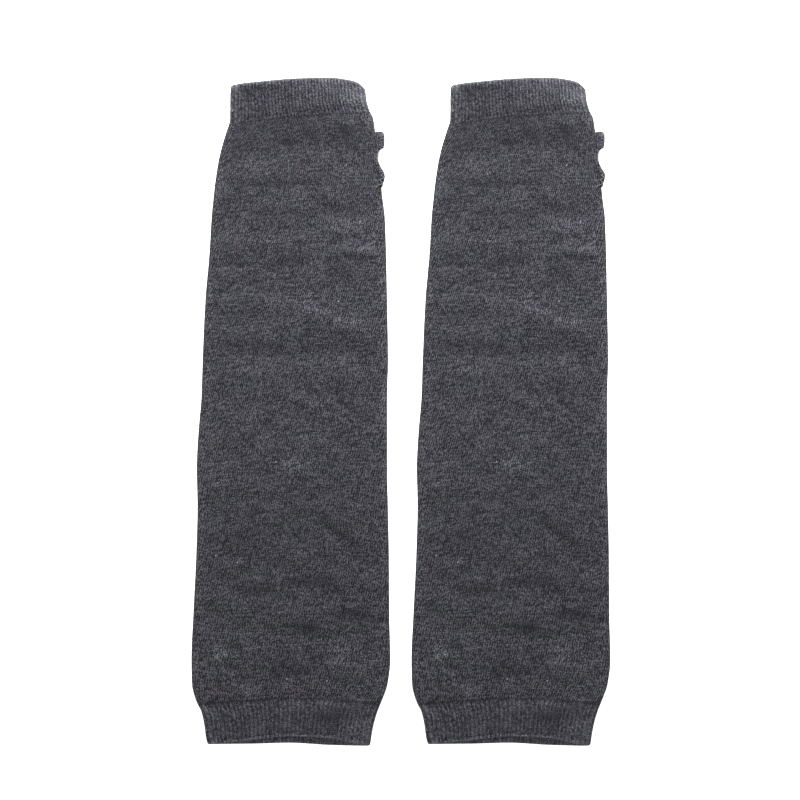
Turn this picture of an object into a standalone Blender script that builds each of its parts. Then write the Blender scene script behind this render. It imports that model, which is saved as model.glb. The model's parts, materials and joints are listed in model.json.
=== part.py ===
"""Pair of fingerless arm warmers in fine charcoal knit, lying flat side by side.

Each warmer is a seamless tube of plain jersey with a ribbed welt at its arm end and at its hand end. A thumb
opening with an overlocked edging sits on the tube's right-hand fold. The tube lies flat: its back layer rests
on the surface, and its front layer lies on the back one, a little air between them.

Frame: metres, +Z up, +Y from the arm end to the hand end, +X to the right, origin at the middle of the pair's
underside. Sizes below are in millimetres. "Up" is a distance along a warmer from its arm end, and "across" a
distance to the right of its centre line.
"""

import math

import bmesh
import bpy

MILLIMETRE = 0.001

# Driving sizes
PAIR_LENGTH = 340.0
WARMER_SPACING = 112.0
JERSEY_WALL = 1.2
WELT_WALL = 1.6
EDGING_WALL = 1.5
LAYER_GAP = 0.6
SEAM_GAP = 0.3
RIBS_ACROSS = 41
RIB_HEIGHT = 0.35
HEM_ROUNDING = 0.5
HEM_ROUNDING_LENGTH = 0.8

# Where the two folds lie: distances from the centre line at each distance up
OUTLINE_COLUMNS = ("up", "left", "right")
OUTLINE = (
    (0.0, 42.2, 40.3),
    (5.0, 43.3, 41.0),
    (11.0, 44.1, 42.1),
    (17.5, 45.6, 44.0),
    (21.5, 47.6, 45.6),
    (25.5, 49.1, 47.2),
    (31.5, 50.4, 49.2),
    (44.0, 50.7, 50.6),
    (68.0, 49.7, 50.1),
    (99.0, 48.2, 49.9),
    (123.0, 47.6, 49.4),
    (142.0, 48.0, 49.0),
    (160.0, 47.1, 49.0),
    (178.0, 45.6, 49.0),
    (196.5, 45.0, 49.5),
    (227.0, 43.6, 49.0),
    (251.5, 41.5, 48.5),
    (270.0, 40.4, 47.8),
    (277.0, 39.7, 46.9),
    (284.5, 38.9, 45.9),
    (298.0, 36.4, 44.5),
    (305.5, 34.6, 43.8),
    (313.0, 32.4, 42.9),
    (319.5, 30.9, 41.9),
    (324.0, 30.8, 39.7),
    (329.0, 30.8, 38.3),
    (334.0, 30.6, 37.8),
    (340.0, 30.2, 36.8),
)

# Knitted rows that end a piece: how far up each lies, at shares of the width from the left fold
COURSE_SHARES = (0.0, 0.1, 0.25, 0.5, 0.75, 0.88, 0.95, 1.0)
ARM_HEM_BACK = (0.8, 0.9, 1.0, 1.5, 0.4, 0.1, 0.0, 0.0)
ARM_HEM_FRONT = (1.0, 1.7, 2.9, 5.3, 3.9, 1.4, 0.9, 0.7)
ARM_RIB_END = (21.4, 22.0, 23.0, 24.4, 23.6, 22.4, 21.8, 21.4)
HAND_RIB_END = (315.6, 316.8, 318.4, 320.4, 321.4, 321.8, 322.0, 322.2)
HAND_HEM = (335.6, 337.1, 338.2, 339.6, 340.0, 338.9, 337.3, 333.9)

# The thumb opening's edging: its inner edge against the tube and its outer edge at the fold
EDGING_COLUMNS = ("up", "inner", "outer")
EDGING = (
    (284.6, 45.9, 46.5),
    (286.7, 45.2, 46.9),
    (288.3, 44.5, 47.6),
    (290.3, 43.8, 47.9),
    (292.2, 43.2, 47.4),
    (293.5, 42.7, 46.4),
    (295.8, 42.1, 45.3),
    (298.0, 41.8, 44.5),
    (300.0, 41.6, 44.3),
    (302.6, 41.6, 44.7),
    (304.0, 41.7, 46.0),
    (304.8, 41.8, 47.3),
    (308.4, 42.1, 47.6),
    (311.0, 42.5, 47.6),
    (311.9, 42.7, 47.1),
    (312.5, 42.8, 45.4),
)
THUMB_SLIT_LOW = 293.4
THUMB_SLIT_HIGH = 304.6
THUMB_SLIT_HEIGHT = 0.5
EDGING_ROUNDING = 0.9

# Air under the front layer's middle, at distances up
AIR_COLUMNS = ("up", "height")
AIR = (
    (0.0, 1.6),
    (20.0, 0.9),
    (60.0, 1.3),
    (150.0, 1.0),
    (250.0, 1.2),
    (310.0, 0.8),
    (340.0, 1.0),
)

# The front layer's largest folds: their two ends, half width and height, a trough where it is negative
FOLD_COLUMNS = ("from_across", "from_up", "to_across", "to_up", "half_width", "height")
FOLDS = (
    (20.0, 220.0, 46.0, 206.0, 5.0, 0.8),
    (12.0, 259.0, 46.0, 249.0, 5.5, 0.7),
    (27.0, 263.0, 45.0, 271.0, 4.5, 0.5),
    (-39.0, 204.5, 42.0, 201.0, 5.0, -0.6),
    (18.0, 183.0, 43.0, 163.0, 5.0, -0.6),
    (-21.0, 286.0, 7.0, 289.0, 5.0, -0.4),
    (-28.0, 275.0, -3.0, 270.5, 5.0, -0.4),
    (14.0, 241.0, 28.0, 241.0, 6.0, -0.4),
    (21.0, 316.0, 32.0, 306.0, 4.5, -0.5),
    (17.0, 111.0, 42.0, 94.0, 5.0, -0.5),
    (-45.0, 128.0, -10.0, 136.0, 8.0, 0.5),
    (-30.0, 70.0, 5.0, 61.0, 9.0, 0.5),
)

# How finely the pieces are divided
FOLD_ANGLES = (0.0, 45.0, 90.0)
FRONT_COLUMNS = 14
BACK_COLUMNS = 9
RIB_COLUMNS = 2 * RIBS_ACROSS
FRONT_ROW_STEP = 8.0
BACK_ROW_STEP = 16.0
BULGE_ROW_STEP = 6.0
BULGE_END = 46.0
THUMB_ROW_STEP = 2.6
THUMB_ROWS_LOW = 283.0
THUMB_ROWS_HIGH = 314.0
LIFT_MARGIN = 8.0

# Colours, from the photograph
JERSEY_COLOUR = (0.062, 0.060, 0.072, 1.0)
WELT_COLOUR = (0.071, 0.069, 0.081, 1.0)
EDGING_COLOUR = (0.056, 0.055, 0.066, 1.0)
KNIT_ROUGHNESS = 0.95


def smooth_curve(knots, values, place):
    """Read a curve that runs smoothly through the values, with no overshoot, at a place between the knots."""
    if place <= knots[0]:
        return values[0]
    if place >= knots[-1]:
        return values[-1]
    index = max(i for i in range(len(knots) - 1) if knots[i] <= place)

    secants = [(values[i + 1] - values[i]) / (knots[i + 1] - knots[i]) for i in range(len(knots) - 1)]

    def slope(i):
        before = secants[max(i - 1, 0)]
        after = secants[min(i, len(secants) - 1)]
        if before * after <= 0.0:
            return 0.0
        return 2.0 * before * after / (before + after)

    span = knots[index + 1] - knots[index]
    t = (place - knots[index]) / span
    return ((2 * t ** 3 - 3 * t ** 2 + 1) * values[index]
            + (t ** 3 - 2 * t ** 2 + t) * span * slope(index)
            + (3 * t ** 2 - 2 * t ** 3) * values[index + 1]
            + (t ** 3 - t ** 2) * span * slope(index + 1))


def smooth_step(value):
    """Ease a value from 0 to 1."""
    share = min(1.0, max(0.0, value))
    return share * share * (3.0 - 2.0 * share)


def read_table(table, names, name, place):
    """Read one named column of a table at a distance up."""
    column = names.index(name)
    return smooth_curve([row[0] for row in table], [row[column] for row in table], place)


def left_fold(up):
    """Return where the left-hand fold lies, across."""
    return -read_table(OUTLINE, OUTLINE_COLUMNS, "left", up)


def right_fold(up):
    """Return where the right-hand fold lies, across."""
    return read_table(OUTLINE, OUTLINE_COLUMNS, "right", up)


def tube_right_edge(up):
    """Return the tube's right-hand edge: its fold, or short of the edging beside the thumb opening."""
    if EDGING[0][0] <= up <= EDGING[-1][0]:
        return min(right_fold(up), read_table(EDGING, EDGING_COLUMNS, "inner", up) - SEAM_GAP)
    return right_fold(up)


def fold_height(across, up):
    """Add up the front layer's folds at a place."""
    total = 0.0
    for row in FOLDS:
        fold = dict(zip(FOLD_COLUMNS, row))
        run_across = fold["to_across"] - fold["from_across"]
        run_up = fold["to_up"] - fold["from_up"]
        length = math.hypot(run_across, run_up)
        from_start = ((across - fold["from_across"]) * run_across + (up - fold["from_up"]) * run_up) / length
        aside = ((across - fold["from_across"]) * run_up - (up - fold["from_up"]) * run_across) / length
        ease = 0.35 * length
        ends = smooth_step(from_start / ease) * smooth_step((length - from_start) / ease)
        total += fold["height"] * ends * math.exp(-(aside / fold["half_width"]) ** 2)
    return total


def lift(across, up):
    """Return how far the front layer stands above a tube pressed flat."""
    left = left_fold(up)
    right = right_fold(up)
    inset = min(across - left, right - across)
    clear_of_fold = smooth_step((inset - JERSEY_WALL) / LIFT_MARGIN)
    share = min(1.0, max(0.0, (across - left) / (right - left)))
    air = read_table(AIR, AIR_COLUMNS, "height", up) * math.sin(math.pi * share)
    return clear_of_fold * max(0.0, air + fold_height(across, up))


class Layer:
    """The front or the back layer of a piece of the flat tube."""

    def __init__(self, wall, is_front, columns, right_edge=right_fold, rib_height=0.0):
        """Keep the wall's thickness, the side it lies on, and how its width is divided."""
        self.wall = wall
        self.is_front = is_front
        self.columns = columns
        self.right_edge = right_edge
        self.rib_height = rib_height
        self.radius = wall + (LAYER_GAP - SEAM_GAP) / 2

    def places_across(self, left, right):
        """List the columns' places from the left edge to the right edge, close together at the folds."""
        insets = [self.radius * (1.0 - math.cos(math.radians(angle))) for angle in FOLD_ANGLES]
        flat_width = right - left - 2 * insets[-1]
        flat = [left + insets[-1] + flat_width * step / self.columns for step in range(self.columns + 1)]
        return [left + inset for inset in insets[:-1]] + flat + [right - inset for inset in reversed(insets[:-1])]

    def rib(self, index):
        """Return a column's rib height: every other column of the flat stretch is a crest."""
        first_flat = len(FOLD_ANGLES) - 1
        is_crest = first_flat < index < first_flat + self.columns and (index - first_flat) % 2 == 1
        return self.rib_height if is_crest else 0.0

    def lean(self, across, up):
        """Return how far the wall leans outwards: 1 at the right-hand fold, -1 at the left-hand one, else 0."""
        from_left = across - left_fold(up)
        from_right = right_fold(up) - across
        from_fold = max(0.0, min(from_left, from_right))
        return math.copysign(max(0.0, 1.0 - from_fold / self.radius), from_left - from_right)

    def skin_place(self, across, up, is_outer):
        """Return where a skin lies across: the inner skin is one wall's thickness inside the outer one."""
        return across if is_outer else across - self.wall * self.lean(across, up)

    def point(self, across, up, index, is_outer, rounding):
        """Return the outer or the inner skin's point at a place, its edge pulled in where the hem is rounded."""
        upright = math.sqrt(1.0 - self.lean(across, up) ** 2)
        outward = (self.radius - rounding if is_outer else self.radius - self.wall + rounding) * upright
        skin_across = self.skin_place(across, up, is_outer)
        if not self.is_front:
            return (skin_across, up, self.radius - outward)
        rib = self.rib(index) if is_outer else 0.0
        return (skin_across, up, self.radius + SEAM_GAP + outward + rib + lift(across, up))

    def row(self, course, shift, is_outer, rounding):
        """Return a skin's points along one knitted row, moved up by a shift."""
        middle = course(0.5) + shift
        left = left_fold(middle)
        width = right_fold(middle) - left
        points = []
        for index, place in enumerate(self.places_across(left, self.right_edge(middle))):
            up = course((self.skin_place(place, middle, is_outer) - left) / width) + shift
            across = self.places_across(left_fold(up), self.right_edge(up))[index]
            points.append(self.point(across, up, index, is_outer, rounding))
        return points


def course_between(low, high, share):
    """Return the knitted row at a share of the way between two others."""
    def course(width_share):
        low_up = smooth_curve(COURSE_SHARES, low, width_share)
        high_up = smooth_curve(COURSE_SHARES, high, width_share)
        return low_up + (high_up - low_up) * share
    return course


def wall_mesh(name, outer_rows, inner_rows):
    """Close two skins, given as rows of points, into one solid wall."""
    mesh_builder = bmesh.new()
    skins = []
    for rows in (outer_rows, inner_rows):
        skins.append([[mesh_builder.verts.new([value * MILLIMETRE for value in point]) for point in row]
                      for row in rows])
    for skin in skins:
        for low, high in zip(skin, skin[1:]):
            for a, b, c, d in zip(low, low[1:], high[1:], high):
                mesh_builder.faces.new((a, b, c, d))
    outer, inner = skins
    borders = [
        (outer[0], inner[0]),
        (outer[-1], inner[-1]),
        ([row[0] for row in outer], [row[0] for row in inner]),
        ([row[-1] for row in outer], [row[-1] for row in inner]),
    ]
    for outer_edge, inner_edge in borders:
        for a, b, c, d in zip(outer_edge, outer_edge[1:], inner_edge[1:], inner_edge):
            mesh_builder.faces.new((a, b, c, d))
    bmesh.ops.recalc_face_normals(mesh_builder, faces=mesh_builder.faces)
    mesh = bpy.data.meshes.new(name)
    mesh_builder.to_mesh(mesh)
    mesh_builder.free()
    return mesh


def tube_row_shares(row_step):
    """List the tube's rows as shares of its length, closer together at the bulge and the thumb opening."""
    start = ARM_RIB_END[-1]
    end = HAND_RIB_END[-1]
    stretches = (
        (start, BULGE_END, BULGE_ROW_STEP),
        (BULGE_END, THUMB_ROWS_LOW, row_step),
        (THUMB_ROWS_LOW, THUMB_ROWS_HIGH, THUMB_ROW_STEP),
        (THUMB_ROWS_HIGH, end, row_step),
    )
    ups = []
    for low, high, step in stretches:
        count = math.ceil((high - low) / step)
        ups += [low + (high - low) * index / count for index in range(count)]
    return [(up - start) / (end - start) for up in ups] + [1.0]


def tube_layer_mesh(name, is_front):
    """Make one layer of the jersey tube, notched beside the thumb opening."""
    columns = FRONT_COLUMNS if is_front else BACK_COLUMNS
    layer = Layer(JERSEY_WALL, is_front, columns, right_edge=tube_right_edge)
    shares = tube_row_shares(FRONT_ROW_STEP if is_front else BACK_ROW_STEP)
    skins = ([], [])
    for share in shares:
        course = course_between(ARM_RIB_END, HAND_RIB_END, share)
        shift = SEAM_GAP / 2 * (1.0 - 2.0 * share)
        for skin, is_outer in zip(skins, (True, False)):
            skin.append(layer.row(course, shift, is_outer, 0.0))
    return wall_mesh(name, *skins)


def welt_layer_mesh(name, is_front, seam_course, hem_course):
    """Make one layer of a ribbed welt, from its seam with the tube to its rounded hem."""
    layer = Layer(WELT_WALL, is_front, RIB_COLUMNS if is_front else BACK_COLUMNS,
                  rib_height=RIB_HEIGHT if is_front else 0.0)
    length = abs(hem_course[3] - seam_course[3])
    away_from_seam = math.copysign(SEAM_GAP / 2, hem_course[3] - seam_course[3])
    rows = (
        (0.0, away_from_seam, 0.0),
        (0.5, 0.0, 0.0),
        (1.0 - HEM_ROUNDING_LENGTH / length, 0.0, 0.0),
        (1.0, 0.0, HEM_ROUNDING),
    )
    skins = ([], [])
    for share, shift, rounding in rows:
        course = course_between(seam_course, hem_course, share)
        for skin, is_outer in zip(skins, (True, False)):
            skin.append(layer.row(course, shift, is_outer, rounding))
    return wall_mesh(name, *skins)


def edging_mesh(name):
    """Make the edging's full outline as one solid, rounded where it turns from the front to the back."""
    height = 2 * EDGING_WALL + THUMB_SLIT_HEIGHT
    mesh_builder = bmesh.new()
    loops = []
    for row in EDGING:
        station = dict(zip(EDGING_COLUMNS, row))
        rounding = min(EDGING_ROUNDING, 0.6 * (station["outer"] - station["inner"]))
        section = (
            (station["inner"], 0.0),
            (station["outer"] - rounding, 0.0),
            (station["outer"] - 0.3 * rounding, 0.3 * rounding),
            (station["outer"], rounding),
            (station["outer"], height - rounding),
            (station["outer"] - 0.3 * rounding, height - 0.3 * rounding),
            (station["outer"] - rounding, height),
            (station["inner"], height),
        )
        loops.append([mesh_builder.verts.new((across * MILLIMETRE, station["up"] * MILLIMETRE, z * MILLIMETRE))
                      for across, z in section])
    for low, high in zip(loops, loops[1:]):
        for a, b, c, d in zip(low, low[1:] + low[:1], high[1:] + high[:1], high):
            mesh_builder.faces.new((a, b, c, d))
    mesh_builder.faces.new(loops[0])
    mesh_builder.faces.new(loops[-1])
    bmesh.ops.recalc_face_normals(mesh_builder, faces=mesh_builder.faces)
    mesh = bpy.data.meshes.new(name)
    mesh_builder.to_mesh(mesh)
    mesh_builder.free()
    return mesh


def slit_mesh(name):
    """Make the block that parts the edging's front rim from its back rim."""
    inner = min(row[1] for row in EDGING) - 1.0
    outer = max(row[2] for row in EDGING) + 1.0
    middle = EDGING_WALL + THUMB_SLIT_HEIGHT / 2
    size = (outer - inner, THUMB_SLIT_HIGH - THUMB_SLIT_LOW, THUMB_SLIT_HEIGHT)
    centre = ((inner + outer) / 2, (THUMB_SLIT_LOW + THUMB_SLIT_HIGH) / 2, middle)
    mesh_builder = bmesh.new()
    bmesh.ops.create_cube(mesh_builder, size=1.0)
    bmesh.ops.scale(mesh_builder, vec=[value * MILLIMETRE for value in size], verts=mesh_builder.verts)
    bmesh.ops.translate(mesh_builder, vec=[value * MILLIMETRE for value in centre], verts=mesh_builder.verts)
    mesh = bpy.data.meshes.new(name)
    mesh_builder.to_mesh(mesh)
    mesh_builder.free()
    return mesh


def make_material(name, colour):
    """Make a matt knit material."""
    material = bpy.data.materials.new(name)
    material.use_nodes = True
    shader = material.node_tree.nodes["Principled BSDF"]
    shader.inputs["Base Color"].default_value = colour
    shader.inputs["Roughness"].default_value = KNIT_ROUGHNESS
    shader.inputs["Metallic"].default_value = 0.0
    return material


def place(name, mesh, warmer):
    """Put a piece into the scene as part of one warmer."""
    piece = bpy.data.objects.new(name, mesh)
    piece.parent = warmer
    bpy.context.scene.collection.objects.link(piece)
    return piece


def place_edging(name, mesh, cutter_mesh, warmer):
    """Place the edging and cut its slit, so that it is a ring round the thumb opening."""
    edging = place(name, mesh, warmer)
    cutter = place(name + "_slit", cutter_mesh, warmer)
    cutter.hide_render = True
    cutter.display_type = "WIRE"
    cut = edging.modifiers.new("thumb slit", "BOOLEAN")
    cut.operation = "DIFFERENCE"
    cut.object = cutter


def main():
    """Model one warmer's pieces and lay them out twice, side by side."""
    for scene_object in list(bpy.data.objects):
        bpy.data.objects.remove(scene_object, do_unlink=True)

    jersey = make_material("jersey", JERSEY_COLOUR)
    ribbed = make_material("ribbed_welt", WELT_COLOUR)
    overlocked = make_material("thumb_edging", EDGING_COLOUR)
    layer_meshes = {
        "tube_front": (tube_layer_mesh("tube_front", True), jersey),
        "tube_back": (tube_layer_mesh("tube_back", False), jersey),
        "arm_welt_front": (welt_layer_mesh("arm_welt_front", True, ARM_RIB_END, ARM_HEM_FRONT), ribbed),
        "arm_welt_back": (welt_layer_mesh("arm_welt_back", False, ARM_RIB_END, ARM_HEM_BACK), ribbed),
        "hand_welt_front": (welt_layer_mesh("hand_welt_front", True, HAND_RIB_END, HAND_HEM), ribbed),
        "hand_welt_back": (welt_layer_mesh("hand_welt_back", False, HAND_RIB_END, HAND_HEM), ribbed),
    }
    ring = edging_mesh("thumb_edging")
    slit = slit_mesh("thumb_slit")
    for mesh, material in layer_meshes.values():
        mesh.materials.append(material)
    ring.materials.append(overlocked)

    for side, direction in (("left", -1.0), ("right", 1.0)):
        warmer = bpy.data.objects.new(side + "_warmer", None)
        warmer.location = (
            direction * WARMER_SPACING / 2 * MILLIMETRE,
            -PAIR_LENGTH / 2 * MILLIMETRE,
            0.0,
        )
        bpy.context.scene.collection.objects.link(warmer)
        for name, (mesh, _) in layer_meshes.items():
            place(side + "_" + name, mesh, warmer)
        place_edging(side + "_thumb_edging", ring, slit, warmer)


main()
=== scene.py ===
"""Pair of fingerless arm warmers in charcoal melange knit, laid flat side by side on a pale floor.

Each warmer is a knitted tube with a ribbed welt at either end and an overlocked edging round its thumb
opening. The knitted walls are closed shells, made row by row as they are knitted. "Up" is a distance along a
warmer from its arm end, "across" a distance to the right of its centre line, and "height" a distance above
the floor, all in millimetres. A finished mesh is turned into metres and put in its warmer's place.
"""

import json
import logging
import math
from collections.abc import Callable
from dataclasses import dataclass
from enum import Enum

import bmesh
import bpy
import numpy as np
from mathutils import Matrix, Vector

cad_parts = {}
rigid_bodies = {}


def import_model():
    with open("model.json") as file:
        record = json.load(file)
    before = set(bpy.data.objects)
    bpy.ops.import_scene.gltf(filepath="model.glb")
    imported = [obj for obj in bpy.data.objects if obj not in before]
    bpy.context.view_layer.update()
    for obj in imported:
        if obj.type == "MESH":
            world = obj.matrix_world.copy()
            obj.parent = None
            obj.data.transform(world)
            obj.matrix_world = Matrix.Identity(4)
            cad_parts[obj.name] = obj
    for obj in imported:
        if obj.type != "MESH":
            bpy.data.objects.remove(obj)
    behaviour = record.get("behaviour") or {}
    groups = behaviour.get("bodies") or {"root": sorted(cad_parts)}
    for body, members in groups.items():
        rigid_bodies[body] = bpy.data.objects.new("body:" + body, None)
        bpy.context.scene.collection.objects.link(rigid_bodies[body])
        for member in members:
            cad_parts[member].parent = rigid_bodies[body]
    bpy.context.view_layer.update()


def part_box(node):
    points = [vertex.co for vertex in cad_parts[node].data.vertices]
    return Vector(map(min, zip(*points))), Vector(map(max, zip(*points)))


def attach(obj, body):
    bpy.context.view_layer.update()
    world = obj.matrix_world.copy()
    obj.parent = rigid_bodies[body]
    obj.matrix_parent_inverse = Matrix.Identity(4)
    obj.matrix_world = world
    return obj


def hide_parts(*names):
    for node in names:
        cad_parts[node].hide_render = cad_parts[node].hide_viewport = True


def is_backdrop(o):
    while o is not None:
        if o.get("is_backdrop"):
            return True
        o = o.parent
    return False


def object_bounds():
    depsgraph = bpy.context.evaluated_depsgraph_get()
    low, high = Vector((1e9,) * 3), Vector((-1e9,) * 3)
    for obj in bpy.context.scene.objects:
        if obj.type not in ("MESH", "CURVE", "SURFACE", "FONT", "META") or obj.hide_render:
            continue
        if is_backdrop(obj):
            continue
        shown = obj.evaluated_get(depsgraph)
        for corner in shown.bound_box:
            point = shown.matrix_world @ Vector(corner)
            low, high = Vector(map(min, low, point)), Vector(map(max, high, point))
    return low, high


MILLIMETRE = 0.001
STITCH_MAP = "stitches"
TONE_MAP = "tone"
TOUCHING = 1e-4
WHITE = (1.0, 1.0, 1.0, 1.0)
FLOAT = "NodeSocketFloat"
VECTOR = "NodeSocketVector"

Colour = tuple[float, float, float]
Number = float | np.ndarray
Point = tuple[float, float, float]
Table = tuple[tuple[float, ...], ...]

LOG = logging.getLogger("arm_warmers")


class Side(Enum):
    """Which warmer of the pair a piece belongs to."""

    LEFT = "left"
    RIGHT = "right"


class Hold(Enum):
    """How a wall's end is finished."""

    SEAM = "seam"
    HEM = "hem"


def smooth_step(value: Number) -> Number:
    """Ease a value from 0 to 1.

    Args:
        value: The value, taken as 0 below 0 and as 1 above 1.

    Returns:
        The eased value.
    """
    share = np.clip(value, 0.0, 1.0)
    return share * share * (3.0 - 2.0 * share)


def smooth_curve(knots: tuple[float, ...], values: tuple[float, ...], places: Number) -> Number:
    """Read a curve that runs smoothly through the values, with no overshoot.

    Args:
        knots: Where the values stand, rising.
        values: The curve's values there.
        places: Where to read it.

    Returns:
        The curve's values at the places.
    """
    at = np.asarray(knots, float)
    value = np.asarray(values, float)
    secants = np.diff(value) / np.diff(at)
    before = np.concatenate((secants[:1], secants))
    after = np.concatenate((secants, secants[-1:]))
    same_way = before * after > 0.0
    slopes = np.where(same_way, 2.0 * before * after / np.where(same_way, before + after, 1.0), 0.0)
    index = np.clip(np.searchsorted(at, places, side="right") - 1, 0, len(at) - 2)
    span = at[index + 1] - at[index]
    t = np.clip((places - at[index]) / span, 0.0, 1.0)
    return ((2 * t ** 3 - 3 * t ** 2 + 1) * value[index]
            + (t ** 3 - 2 * t ** 2 + t) * span * slopes[index]
            + (3 * t ** 2 - 2 * t ** 3) * value[index + 1]
            + (t ** 3 - t ** 2) * span * slopes[index + 1])


def column(table: Table, index: int) -> tuple[float, ...]:
    """Take one column out of a table."""
    return tuple(row[index] for row in table)


@dataclass(frozen=True)
class Crease:
    """A soft ridge between two points of a layer, or a soft trough where its height is negative."""

    from_across: float
    from_up: float
    to_across: float
    to_up: float
    half_width: float
    height: float
    taper: float = 0.25

    def rise(self, across: np.ndarray, up: np.ndarray) -> np.ndarray:
        """Return how far the crease lifts the cloth at each place.

        Args:
            across: The places' distances across.
            up: Their distances up.

        Returns:
            The lift at each place.
        """
        run_across = self.to_across - self.from_across
        run_up = self.to_up - self.from_up
        length = math.hypot(run_across, run_up)
        along = ((across - self.from_across) * run_across + (up - self.from_up) * run_up) / length
        aside = ((across - self.from_across) * run_up - (up - self.from_up) * run_across) / length
        ease = self.taper * length
        ends = smooth_step(along / ease) * smooth_step((length - along) / ease)
        return self.height * ends * np.exp(-((aside / self.half_width) ** 2))


@dataclass(frozen=True)
class Mark:
    """A soft lighter patch in the tone, or a darker one where its tone is negative; many are painted light
    and shade.
    """

    across: float
    up: float
    reach_across: float
    reach_up: float
    tone: float

    def shade(self, across: np.ndarray, up: np.ndarray) -> np.ndarray:
        """Return what the mark adds to the knit's tone at each place."""
        distance = ((across - self.across) / self.reach_across) ** 2 + ((up - self.up) / self.reach_up) ** 2
        return self.tone * np.exp(-distance)


@dataclass(frozen=True)
class Swell:
    """The cloth's uneven surface, added up from seeded waves whose crests run mostly across."""

    seed: int
    height: float
    shortest: float
    longest: float
    waves: int = 28
    spread: float = 0.5
    length_power: float = 0.6

    def rise(self, across: np.ndarray, up: np.ndarray) -> np.ndarray:
        """Return the swell's height at each place.

        Args:
            across: The places' distances across.
            up: Their distances up.

        Returns:
            Heights about zero.
        """
        dice = np.random.default_rng(self.seed)
        lengths = np.geomspace(self.shortest, self.longest, self.waves)
        bearings = dice.normal(math.pi / 2.0, self.spread, self.waves)
        phases = dice.uniform(0.0, 2.0 * math.pi, self.waves)
        total = np.zeros(np.broadcast(across, up).shape)
        for length, bearing, phase in zip(lengths, bearings, phases):
            along = across * math.cos(bearing) + up * math.sin(bearing)
            share = (length / self.longest) ** self.length_power
            total += share * np.sin(2.0 * math.pi * along / length + phase)
        return self.height * total / math.sqrt(self.waves / 2.0)


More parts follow.
